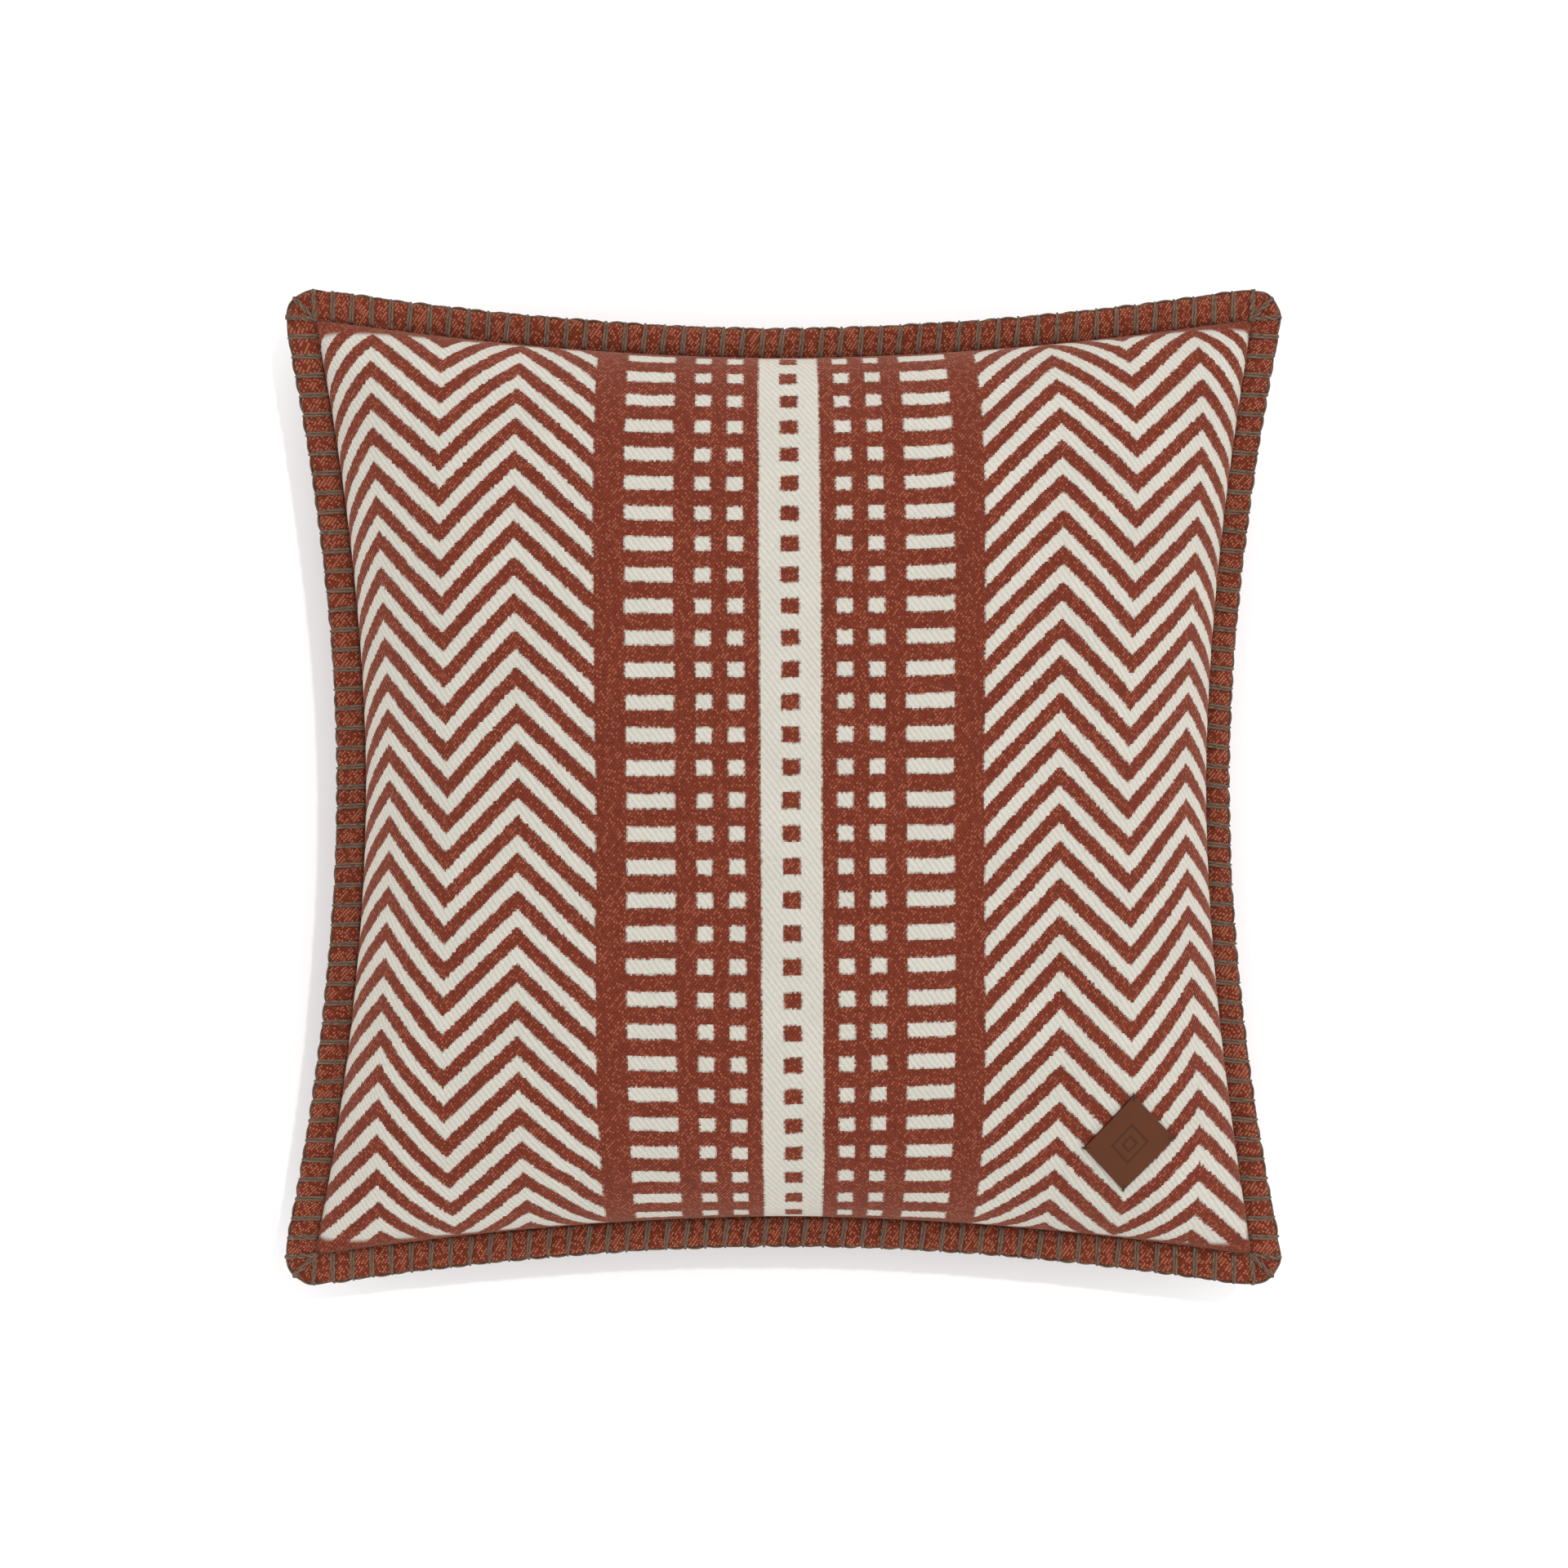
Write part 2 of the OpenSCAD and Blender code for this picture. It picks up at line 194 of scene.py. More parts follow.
def lobe(s, t):
    """0 under each stitch and 1 midway between two, where the flange's cloth stands fuller."""
    along = np.where(np.abs(t) > np.abs(s), s, t)
    beat = (along + STITCH_SPAN) / (2 * STITCH_SPAN) * STITCHES
    straight = np.clip((1 - np.minimum(np.abs(s), np.abs(t))) * 30, 0, 1)
    return np.abs(np.sin(np.pi * beat)) ** 0.7 * straight + 0.4 * (1 - straight)


def plan(s, t):
    s, t = np.broadcast_arrays(np.asarray(s, float), np.asarray(t, float))
    x = across(s, HALF - SIDE_PULL * pull_in(share(t)))
    y = across(t, HALF - END_PULL * pull_in(share(s)))
    cut = (1 - corner_scale(s, t)) * FLANGE
    scallop = SCALLOP * lobe(s, t) * on_flange(s, t) ** 2
    aside = np.abs(s) >= np.abs(t)
    return (
        x - np.sign(s) * (cut * np.maximum(np.abs(s) - 1, 0) - scallop * aside),
        y - np.sign(t) * (cut * np.maximum(np.abs(t) - 1, 0) - scallop * ~aside),
    )


def flutter(s, t):
    """The flange's cut edge waves a little up and down."""
    wave = np.sin(5.3 * s + 2.1 * t + 0.6) + 0.6 * np.sin(9.1 * s - 6.7 * t)
    return FLUTTER * wave * on_flange(s, t)


def seam_z(s, t):
    return SEAM_HEIGHT - CORNER_DROP * (share(s) * share(t)) ** 2 + flutter(s, t)


def swell(t):
    return np.maximum(0, 1 - np.abs(t) ** CROWN_POWER) ** CROWN_ROUND


def fullness(s, t):
    return np.minimum(1, np.maximum(0, 1 - s * s) * np.maximum(0, 1 - t * t) / REST_SHARE)


def back_z(s, t, top, floor_z):
    return floor_z + (top - floor_z) * (1 - fullness(s, t)) ** 2


def puff(s, t):
    """The flange swells between the stitches, is drawn in where a stitch wraps it, and dips at the seam."""
    out = on_flange(s, t)
    rise = np.clip(out * 2.5, 0, 1) * np.clip((1.35 - out) * 2.2, 0, 1)
    return PUFF * lobe(s, t) * rise - CREASE * np.exp(-(past_seam(s, t) / CREASE_HALF) ** 2)


def bulge(s, t):
    """How far the crown hangs out along X and along Y."""
    def one_way(here, other, most):
        lift = swell(here) / BULGE_AT
        return np.sign(here) * most * lift * np.exp(1 - lift) * swell(other)

    return one_way(s, t, np.where(s > 0, BULGE_RIGHT, BULGE_LEFT)), one_way(t, s, BULGE_Y)


# ---- the settled cloth: a field of small moves, worked out by the cloth simulation ----

class Field:
    """Moves known on a lattice of (s, t) places and read smoothly anywhere between them."""

    def __init__(self, lines, moves):
        self.lines = lines
        self.moves = moves

    def read(self, s, t):
        last = len(self.lines) - 1
        at = [np.interp(np.clip(v, -1, 1), self.lines, np.arange(last + 1)) for v in (s, t)]
        base = [np.clip(np.floor(a).astype(int), 0, last - 1) for a in at]
        part = [a - b for a, b in zip(at, base)]
        total = 0
        for i, wi in enumerate(self.weights(part[0])):
            for j, wj in enumerate(self.weights(part[1])):
                row = np.clip(base[0] + i - 1, 0, last)
                column = np.clip(base[1] + j - 1, 0, last)
                total = total + self.moves[row, column] * (wi * wj)[..., None]
        return total

    @staticmethod
    def weights(f):
        return (
            -0.5 * f + f ** 2 - 0.5 * f ** 3,
            1 - 2.5 * f ** 2 + 1.5 * f ** 3,
            0.5 * f + 2 * f ** 2 - 1.5 * f ** 3,
            -0.5 * f ** 2 + 0.5 * f ** 3,
        )


settled = {"front": None, "back": None}


def moved(side, s, t, points):
    if settled[side] is None:
        return points
    return points + settled[side].read(s, t)


def stack(x, y, z):
    return np.stack(np.broadcast_arrays(x, y, z), axis=-1)


def front_top(s, t):
    x, y = plan(s, t)
    out_x, out_y = bulge(s, t)
    z = seam_z(s, t) + CLOTH + CROWN * swell(s) * swell(t) + puff(s, t)
    return moved("front", s, t, stack(x + out_x, y + out_y, z))


def drawn_in(s, t):
    """The inner face of the cloth lies nearer the middle than the outer one, except on the flange."""
    return np.where(on_flange(s, t) == 0, 1 - CLOTH / HALF, 1.0)


def front_under(s, t):
    x, y = plan(s, t)
    draw = drawn_in(s, t)
    out_x, out_y = bulge(s, t)
    z = seam_z(s, t) + LAP + CROWN * swell(s) * swell(t)
    return moved("front", s, t, stack((x + out_x) * draw, (y + out_y) * draw, z))


def back_outer(s, t):
    x, y = plan(s, t)
    z = back_z(s, t, seam_z(s, t) - CLOTH - puff(s, t), -REST_CUT)
    points = moved("back", s, t, stack(x, y, z))
    points[..., 2] = np.maximum(points[..., 2], 0)
    return points


def back_inner(s, t):
    x, y = plan(s, t)
    draw = drawn_in(s, t)
    z = back_z(s, t, seam_z(s, t) - LAP, CLOTH)
    return moved("back", s, t, stack(x * draw, y * draw, z))


def even_lines(cells, flange_cells=0):
    """Places from one side to the other, spaced evenly along the crown's own section."""
    t = np.sin(np.linspace(0, np.pi / 2, 2001))
    z = CROWN * swell(t)
    length = np.concatenate([[0], np.cumsum(np.hypot(np.diff(t) * (HALF - FLANGE), np.diff(z)))])
    half = np.interp(np.linspace(0, length[-1], cells + 1), length, t)
    if flange_cells:
        half = np.concatenate([half, 1 + np.arange(1, flange_cells + 1) / flange_cells])
    return np.concatenate([-half[:0:-1], half])


def cloth_uv(s, t):
    """Where each point of a lattice of places lies on the flat cloth, in metres from its middle."""
    x, y = plan(s, t)
    out_x, out_y = bulge(s, t)
    points = stack(x + out_x, y + out_y, CROWN * swell(s) * swell(t))

    def along(axis, places, reach):
        step = np.linalg.norm(np.diff(points, axis=axis), axis=-1)
        length = np.cumsum(step, axis=axis)
        length = np.concatenate([np.zeros_like(length.take([0], axis=axis)), length], axis=axis)
        length = length - length.take([points.shape[axis] // 2], axis=axis)
        inside = np.abs(places) <= 1 + 1e-9
        seam = np.max(np.where(inside, np.abs(length), 0), axis=axis, keepdims=True)
        beyond = np.sign(places) * (reach + (np.abs(places) - 1) * FLANGE)
        return np.where(inside, length / seam * reach, beyond)

    def hump(place, reach):
        return np.sin(np.pi * np.minimum(np.abs(place) / reach, 1) ** 2)

    u = along(0, s, CLOTH_X * (1 - CLOTH_X_EASE * (s < 0) * np.minimum(np.abs(t), 1) ** 10))
    v = along(1, t, CLOTH_Y)
    up = np.clip(v / CLOTH_Y, -1, 1)
    near_middle = np.clip(np.where(v > 0, 2.2 - 4 * np.abs(s), 1 - 2.5 * np.abs(s)), 0, 1)
    slip = WEAVE_SLIP * hump(v, CLOTH_Y) * near_middle
    off_lower_edge = np.clip(2.5 + 2.5 * up, 0, 1)
    lean = hump(u, CLOTH_X) * np.where(s > 0, -LEAN_RIGHT * up, LEAN_LEFT * off_lower_edge)
    outward = 1 - np.exp(-np.maximum(u - LIFT_FROM, 0) / LIFT_OVER)
    off_both_edges = np.clip(1.9 + 2.5 * up, -0.4, 1) * np.clip(15 - 15 * up, 0, 1)
    lift = LIFT_RIGHT * outward * off_both_edges
    return np.stack([u + lean, v + slip - lift], axis=-1)


# ---- meshes ----

def add(name, data):
    """Puts a new object into the scene."""
    thing = bpy.data.objects.new(name, data)
    scene.collection.objects.link(thing)
    return thing


def grid_faces(rows, columns, start=0, flip=False):
    i, j = np.meshgrid(np.arange(rows - 1), np.arange(columns - 1), indexing="ij")
    a = start + i * columns + j
    quads = np.stack([a, a + columns, a + columns + 1, a + 1], axis=-1).reshape(-1, 4)
    return quads[:, ::-1] if flip else quads


def grid_ring(rows, columns, start=0):
    """The border of a grid, once round, starting at its first point."""
    index = start + np.arange(rows * columns).reshape(rows, columns)
    return np.concatenate([index[:-1, 0], index[-1, :-1], index[:0:-1, -1], index[0, :0:-1]])


def make_mesh(name, vertices, faces, material, body="cushion", uv=None, past=None):
    """A piece that rides on a body. uv is its place on the flat cloth, and past is from past_layer."""
    mesh = bpy.data.meshes.new(name)
    mesh.from_pydata(np.asarray(vertices).tolist(), [], [list(map(int, face)) for face in faces])
    mesh.polygons.foreach_set("use_smooth", [True] * len(mesh.polygons))
    corner = np.zeros(len(mesh.loops), dtype=np.int32)
    mesh.loops.foreach_get("vertex_index", corner)
    for layer_name, values in (("cloth", uv), ("seam", past)):
        if values is not None:
            layer = mesh.uv_layers.new(name=layer_name)
            layer.data.foreach_set("uv", np.asarray(values)[corner].ravel())
    mesh.materials.append(material)
    mesh.update()
    piece = add(name, mesh)
    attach(piece, body)
    return piece


def sheet_mesh(name, upper, under, lines, material, face_up=True):
    """A closed sheet: a fine grid on the side that shows, and one half as fine behind it."""
    s, t = np.meshgrid(lines, lines, indexing="ij")
    seen = upper(s, t)
    behind = under(s[::2, ::2], t[::2, ::2])
    n, m = seen.shape[0], behind.shape[0]
    uv = cloth_uv(s, t)
    past = past_layer(s, t)
    start = n * n
    ring, inner_ring = grid_ring(n, n), grid_ring(m, m, start)
    faces = list(grid_faces(n, n, 0, not face_up)) + list(grid_faces(m, m, start, face_up))
    for k in range(len(inner_ring)):
        edge = [ring[2 * k], ring[2 * k + 1], ring[(2 * k + 2) % len(ring)]]
        edge += [inner_ring[(k + 1) % len(inner_ring)], inner_ring[k]]
        faces.append(edge[::-1] if face_up else edge)

    def both(values):
        width = values.shape[-1]
        return np.concatenate([values.reshape(-1, width), values[::2, ::2].reshape(-1, width)])

    vertices = np.concatenate([seen.reshape(-1, 3), behind.reshape(-1, 3)])
    return make_mesh(name, vertices, faces, material, uv=both(uv), past=both(past))


def slab_mesh(name, upper, under, material, left_handed, past=None):
    """A closed slab between two grids of points of one size."""
    n, m = upper.shape[:2]
    faces = list(grid_faces(n, m, 0, left_handed)) + list(grid_faces(n, m, n * m, not left_handed))
    ring, under_ring = grid_ring(n, m), grid_ring(n, m, n * m)
    for k in range(len(ring)):
        side = [ring[k], ring[k - 1], under_ring[k - 1], under_ring[k]]
        faces.append(side[::-1] if left_handed else side)
    vertices = np.concatenate([upper.reshape(-1, 3), under.reshape(-1, 3)])
    return make_mesh(name, vertices, faces, material, past=past)


def smooth_path(points, step):
    """A smooth curve through the points, cut into even steps."""
    points = np.asarray(points, float)
    ends = np.concatenate([[2 * points[0] - points[1]], points, [2 * points[-1] - points[-2]]])
    f = np.linspace(0, 1, 9)[:-1, None]
    parts = []
    for k in range(len(points) - 1):
        p = ends[k:k + 4]
        w = Field.weights(f)
        parts.append(sum(w[i] * p[i] for i in range(4)))
    fine = np.concatenate(parts + [points[-1:]])
    length = np.concatenate([[0], np.cumsum(np.linalg.norm(np.diff(fine, axis=0), axis=1))])
    count = max(3, int(round(length[-1] / step)) + 1)
    even = np.linspace(0, length[-1], count)
    return np.stack([np.interp(even, length, fine[:, k]) for k in range(3)], axis=1), even


def path_frames(path, first=None):
    """Two directions square to the path at each of its points, with no twist between them."""
    along = np.gradient(path, axis=0)
    along /= np.linalg.norm(along, axis=1, keepdims=True)
    side = np.cross(along[0], [0.31, 0.52, 0.79]) if first is None else np.array(first, float)
    sides = []
    for direction in along:
        side = side - direction * (side @ direction)
        side /= np.linalg.norm(side)
        sides.append(side)
    sides = np.array(sides)
    return sides, np.cross(along, sides)


class Strands:
    """Collects round strands into one mesh."""

    def __init__(self, sides=7):
        self.sides = sides
        self.vertices, self.faces, self.uv = [], [], []
        self.count = 0

    def tube(self, centre, length, side, other, radius):
        rings = len(centre)
        turn = np.arange(self.sides) / self.sides * 2 * np.pi
        offset = side[:, None] * np.cos(turn)[:, None] + other[:, None] * np.sin(turn)[:, None]
        taper = np.ones(rings)
        taper[[0, -1]] = 0.55
        ring = centre[:, None] + offset * (radius * taper)[:, None, None]
        self.vertices.append(ring.reshape(-1, 3))
        v = np.broadcast_to(turn * radius, (rings, self.sides))
        u = np.broadcast_to(length[:, None], (rings, self.sides))
        self.uv.append(np.stack([u, v], axis=-1).reshape(-1, 2))
        i, j = np.meshgrid(np.arange(rings - 1), np.arange(self.sides), indexing="ij")
        a = self.count + i * self.sides + j
        b = self.count + i * self.sides + (j + 1) % self.sides
        self.faces += np.stack([a, b, b + self.sides, a + self.sides], axis=-1).reshape(-1, 4).tolist()
        first = list(range(self.count, self.count + self.sides))
        self.faces.append(first[::-1])
        self.faces.append([k + (rings - 1) * self.sides for k in first])
        self.count += rings * self.sides

    def thread(self, points, radius, step):
        path, length = smooth_path(points, step)
        side, other = path_frames(path)
        self.tube(path, length + rng.random() * 0.1, side, other, radius)

    def yarn(self, points, radius, pitch, step, turn=None, first=None):
        """Two plies twisted round each other. They start side by side along first, less the turn."""
        path, length = smooth_path(points, step)
        side, other = path_frames(path, first)
        start = rng.random() * 2 * np.pi if turn is None else turn
        for ply in (0, np.pi):
            angle = (start + ply + 2 * np.pi * length / pitch)[:, None]
            centre = path + (side * np.cos(angle) + other * np.sin(angle)) * radius * PLY_APART
            self.tube(centre, length + rng.random() * 0.1, side, other, radius * PLY_RADIUS)

    def piece(self, name, material, slot, body="cushion"):
        vertices = np.concatenate(self.vertices)
        return make_mesh(name, vertices, self.faces, material, body, np.concatenate(self.uv))


# ---- node arithmetic ----

def feed(tree, target, value):
    """Sets an input to a number or a colour, or links it to a signal or a socket."""
    if isinstance(value, (int, float, tuple)):
        target.default_value = value
    else:
        tree.links.new(value.socket if isinstance(value, Signal) else value, target)


class Signal:
    """A number in a node tree, used like any other number."""

    def __init__(self, tree, socket):
        self.tree = tree
        self.socket = socket

    def math(self, operation, *others, clamp=False):
        node = self.tree.nodes.new("ShaderNodeMath")
        node.operation = operation
        node.use_clamp = clamp
        for k, value in enumerate((self, *others)):
            feed(self.tree, node.inputs[k], value)
        return Signal(self.tree, node.outputs[0])

    def __add__(self, other):
        return self.math("ADD", other)

    def __sub__(self, other):
        return self.math("SUBTRACT", other)

    def __mul__(self, other):
        return self.math("MULTIPLY", other)

    def __truediv__(self, other):
        return self.math("DIVIDE", other)

    def __rsub__(self, other):
        return self.math("MULTIPLY_ADD", -1.0, other)

    def __abs__(self):
        return self.math("ABSOLUTE")

    def floor(self):
        return self.math("FLOOR")

    def fraction(self):
        return self.math("FRACT")

    def below(self, limit, soft):
        """1 well below the limit, 0 well above it, and a slope that is soft wide between them."""
        return ((limit - self) / soft).math("ADD", 0.5, clamp=True)

    def above(self, limit, soft):
        return ((self - limit) / soft).math("ADD", 0.5, clamp=True)

    def between(self, low, high, soft):
        middle, reach = (low + high) / 2, (high - low) / 2
        return abs(self - middle).below(reach, soft)

    def either(self, other):
        return self.math("MAXIMUM", other)

    def level(self, low, high):
        """Stretches 0 to 1 over low to high."""
        return self * (high - low) + low


class Paint:
    """One material's node tree, with short ways to add what it needs."""

    def __init__(self, name):
        self.material = bpy.data.materials.new(name)
        self.material.use_nodes = True
        self.tree = self.material.node_tree
        self.shader = self.tree.nodes["Principled BSDF"]

    def node(self, kind, inputs, **settings):
        """Adds a node, feeds its inputs and gives its outputs."""
        node = self.tree.nodes.new("ShaderNode" + kind)
        for name, value in settings.items():
            setattr(node, name, value)
        for name, value in inputs.items():
            feed(self.tree, node.inputs[name], value)
        return node.outputs

    def layer(self, name):
        return self.split(self.node("UVMap", {}, uv_map=name)[0], 1 / MM)

    def cloth_place(self):
        """The place on the flat cloth, in millimetres."""
        return self.layer("cloth")

    def seam_place(self):
        """How far past the seam the point lies, in millimetres."""
        return self.layer("seam")[0]

    def object_place(self):
        return self.node("TexCoord", {})["Object"]

    def split(self, vector, scale):
        parts = self.node("SeparateXYZ", {0: vector})
        return [Signal(self.tree, parts[k]) * scale for k in (0, 1)]

    def join(self, x, y):
        return self.node("CombineXYZ", {0: x, 1: y})[0]

    def noise(self, vector, scale, detail=2.0, rough=0.5):
        inputs = {"Vector": vector, "Scale": scale, "Detail": detail, "Roughness": rough}
        return Signal(self.tree, self.node("TexNoise", inputs)["Fac"])

    def chance(self, vector):
        """A random number for each different place."""
        noise = self.node("TexWhiteNoise", {"Vector": vector}, noise_dimensions="2D")
        return Signal(self.tree, noise["Value"])

    def mix(self, share_of_b, a, b):
        """Mixes two colours. The node's colours are its inputs 6 and 7 and its output 2."""
        a, b = ((*colour, 1.0) if isinstance(colour, tuple) else colour for colour in (a, b))
        return self.node("Mix", {"Factor": share_of_b, 6: a, 7: b}, data_type="RGBA")[2]

    def brighten(self, colour, factor):
        """Multiplies a colour by a number."""
        return self.node("VectorMath", {0: colour, "Scale": factor}, operation="SCALE")[0]

    def finish(self, colour, height=None, depth=0.0, **plain):
        inputs = self.shader.inputs
        feed(self.tree, inputs["Base Color"], colour)
        if height is not None:
            bump = self.node("Bump", {"Strength": 1.0, "Distance": depth, "Height": height})
            feed(self.tree, inputs["Normal"], bump[0])
        for name, value in plain.items():
            feed(self.tree, inputs[name.replace("_", " ").title().replace("Ior", "IOR")], value)
        return self.material


# ---- colours ----

RUST = (0.1496, 0.0278, 0.0135)
RUST_DEEP = (0.087, 0.0135, 0.007)
RUST_SPECK = (0.4872, 0.2044, 0.1175)
FLANGE_RUST = (0.1520, 0.0270, 0.0120)
CREAM = (0.508, 0.484, 0.425)
CREAM_SHADE = (0.34, 0.312, 0.262)
SHEEN_TINT = (1.0, 0.64, 0.50)
OLIVE = (0.0974, 0.0557, 0.0357)
OLIVE_LIGHT = (0.261, 0.174, 0.1218)
OLIVE_DARK = (0.0261, 0.0157, 0.0096)
LEATHER = (0.0905, 0.0244, 0.0065)
LEATHER_DARK = (0.0696, 0.0174, 0.0043)

# The woven design, in millimetres and degrees. Its columns lie at the same distance on both sides.
THREAD = 1.1
PATTERN_TURN = 0.38
PATTERN_X = 4.0
CREAM_TO_X = 249.0
CREAM_TO_Y = 239.0
SOFT_EDGE = 0.95
ROW_PITCH = 16.0
ROW_SHIFT = 6.2
ROW_HALF = 3.6
STRIPE_HALF = 15.2
SQUARE_HALF_X = 4.5
SQUARE_HALF_Y = 4.0
DOT_COLUMNS = (23.0, 30.8), (38.9, 46.6)
DASH_COLUMN = 57.2, 80.9
CHEVRONS_FROM = 96.2
CHEVRON_SPAN = 38.9
CHEVRON_RISE = 36.5
CHEVRON_PITCH = 18.1
CHEVRON_HALF = 4.36
CHEVRON_TOP = 14.7
CHEVRON_MIDDLE = 0.2715

# One diagonal rib of the twill takes this many millimetres along X and along Y, and one float along a rib
# takes this many of both together
RUST_RIB = 1.9, 2.5
CREAM_RIB = 3.1, 4.2
RUST_FLOAT = 1.7
CREAM_FLOAT = 2.2


def pattern(x, y):
    """1 where the cloth is cream. x and y are millimetres from the middle of the design."""
    side = abs(x)

    def column(limits):
        return side.between(*limits, SOFT_EDGE)

    row = abs(((y + ROW_SHIFT) / ROW_PITCH + 0.5).fraction() - 0.5) * ROW_PITCH
    stripe = side.below(STRIPE_HALF, SOFT_EDGE)
    square = side.below(SQUARE_HALF_X, SOFT_EDGE) * row.below(SQUARE_HALF_Y, SOFT_EDGE)
    dots = column(DOT_COLUMNS[0]).either(column(DOT_COLUMNS[1]))
    dashes = dots.either(column(DASH_COLUMN)) * row.below(ROW_HALF, SOFT_EDGE)

    climb = (side - CHEVRONS_FROM).math("PINGPONG", CHEVRON_SPAN) * (CHEVRON_RISE / CHEVRON_SPAN)
    down = ((CHEVRON_TOP - (y + CHEVRON_RISE - climb)) / CHEVRON_PITCH).fraction()
    off_band = abs(down - CHEVRON_MIDDLE).math("MINIMUM", abs(down - (CHEVRON_MIDDLE + 1))) * CHEVRON_PITCH
    chevrons = off_band.below(CHEVRON_HALF, SOFT_EDGE) * side.above(CHEVRONS_FROM, SOFT_EDGE)
    return (stripe - square).either(dashes).either(chevrons)


def cream_share(paint, cloth_x, cloth_y, fuzz):
    """The woven design on the cloth, with the steps of its threads and the fuzz of its nap at the edges."""
    place = paint.join(cloth_x, cloth_y)
    wander = (paint.noise(place, 0.8, 2.0) - 0.5) * 0.7 + (fuzz - 0.5) * 2.0
    drift = paint.noise(place, 0.035, 1.0) - 0.5
    column = (cloth_x / THREAD).floor()
    line = (cloth_y / THREAD).floor()
    jag_x = (paint.chance(paint.join(line, (column / 2.0).floor())) - 0.5) * 0.75
    jag_y = (paint.chance(paint.join(column, (line / 2.0).floor())) - 0.5) * 0.9
    x = (column + 0.5) * (THREAD * 0.5) + cloth_x * 0.5 + jag_x + wander + drift - PATTERN_X
    y = (line + 0.5) * (THREAD * 0.5) + cloth_y * 0.5 + jag_y + wander * 0.8 + drift
    turn = math.radians(PATTERN_TURN)
    design_x = x * math.cos(turn) + y * math.sin(turn)
    design_y = y * math.cos(turn) - x * math.sin(turn)
    nap = (fuzz - 0.5) * 6.0
    inside_x = (abs(cloth_x) + nap).below(CREAM_TO_X, 3.0)
    inside_y = (abs(cloth_y) + nap).below(CREAM_TO_Y, 3.0)
    return pattern(design_x, design_y) * inside_x * inside_y


def wool(name, woven):
    """Brushed wool twill. The front has the woven design, and the back and the flange are plain."""
    paint = Paint(name)
    cloth_x, cloth_y = paint.cloth_place()
    place = paint.join(cloth_x, cloth_y)
    fuzz = paint.noise(place, 2.4, 3.0, 0.7)
    grain = paint.noise(place, 1.3, 2.0, 0.6)
    mottle = paint.noise(place, 0.45, 2.0)
    cloud = paint.noise(place, 0.03, 2.0)
    beyond = paint.seam_place()
    flange = beyond.above(0.6, 2.0)
    # Painted shade: a band from just inside the seam to 1.6 mm out on the flange, where the crease is
    # shaded
    crease = beyond.between(-0.6, 1.6, 2.0)

    ribs = cloth_x / RUST_RIB[0] - cloth_y / RUST_RIB[1]
    floats = (cloth_x + cloth_y) / RUST_FLOAT + ribs.floor() * 0.37
    rib = ribs.fraction().between(0.25, 0.75, 0.3)
    chance = paint.chance(paint.join(ribs.floor(), floats.floor()))
    lucky = (chance + flange * 0.3).above(0.74, 0.2)
    specks = rib * floats.fraction().between(0.25, 0.75, 0.3) * lucky * fuzz.above(0.42, 0.2)
    tone = (fuzz - 0.5) * 2.4 + (grain - 0.5) * 1.8 + chance.level(-0.2, 0.2) + rib.level(0.84, 1.10)
    rust = paint.brighten(paint.mix(flange, RUST, FLANGE_RUST), tone)
    rust = paint.mix((0.56 - fuzz).math("MULTIPLY", 2.4, clamp=True) * 0.75, rust, RUST_DEEP)
    colour = paint.mix(specks * flange.level(0.55, 0.92), rust, RUST_SPECK)
    height = rib * 0.6 + fuzz * 0.5
    if woven:
        cream = cream_share(paint, cloth_x, cloth_y, fuzz) * flange.below(0.3, 0.4)
        ribs = cloth_x / CREAM_RIB[0] + cloth_y / CREAM_RIB[1]
        floats = (cloth_x - cloth_y) / CREAM_FLOAT + ribs.floor() * 0.5
        groove = ribs.fraction().between(0.36, 0.64, 0.3)
        shade = groove * 0.25 + floats.fraction().between(0.3, 0.7, 0.4) * 0.1
        shade = shade + (0.55 - fuzz).math("MULTIPLY", 1.5, clamp=True) * 0.4
        colour = paint.mix(cream, colour, paint.mix(shade, CREAM, CREAM_SHADE))
        height = height * (1.0 - cream) + cream * (fuzz * 0.5 + 1.1 - groove * 0.9)
    # Random unevenness of tone, and painted shade that darkens the colour by a quarter along the seam's
    # crease
    uneven_and_crease_shade = cloud.level(0.92, 1.08) * mottle.level(0.88, 1.12) * crease.level(1.0, 0.75)
    return paint.finish(
        paint.brighten(colour, uneven_and_crease_shade), height, 0.35 * MM, roughness=0.95, specular_ior_level=0.12,
        sheen_weight=0.2, sheen_roughness=0.4, sheen_tint=(*SHEEN_TINT, 1.0),
    )


def spun(name, colours, depth=0.12 * MM, roughness=0.9):
    """Yarn or thread: fibres lie along it, in streaks of darker and lighter fibres."""
    dark, middle, light = colours
    paint = Paint(name)
    along, around = paint.cloth_place()
    fibres = paint.noise(paint.join(along * 0.3 + around * 0.2, around * 1.8), 1.4, 3.0, 0.65)
    mottle = paint.noise(paint.join(along, around), 0.25, 1.0)
    colour = paint.mix(fibres.above(0.56, 0.25) * 0.8, middle, light)
    colour = paint.mix(fibres.below(0.42, 0.2) * 0.7, colour, dark)
    colour = paint.brighten(colour, mottle.level(0.82, 1.18))
    return paint.finish(
        colour, fibres, depth, roughness=roughness, specular_ior_level=0.15, sheen_weight=0.06,
    )


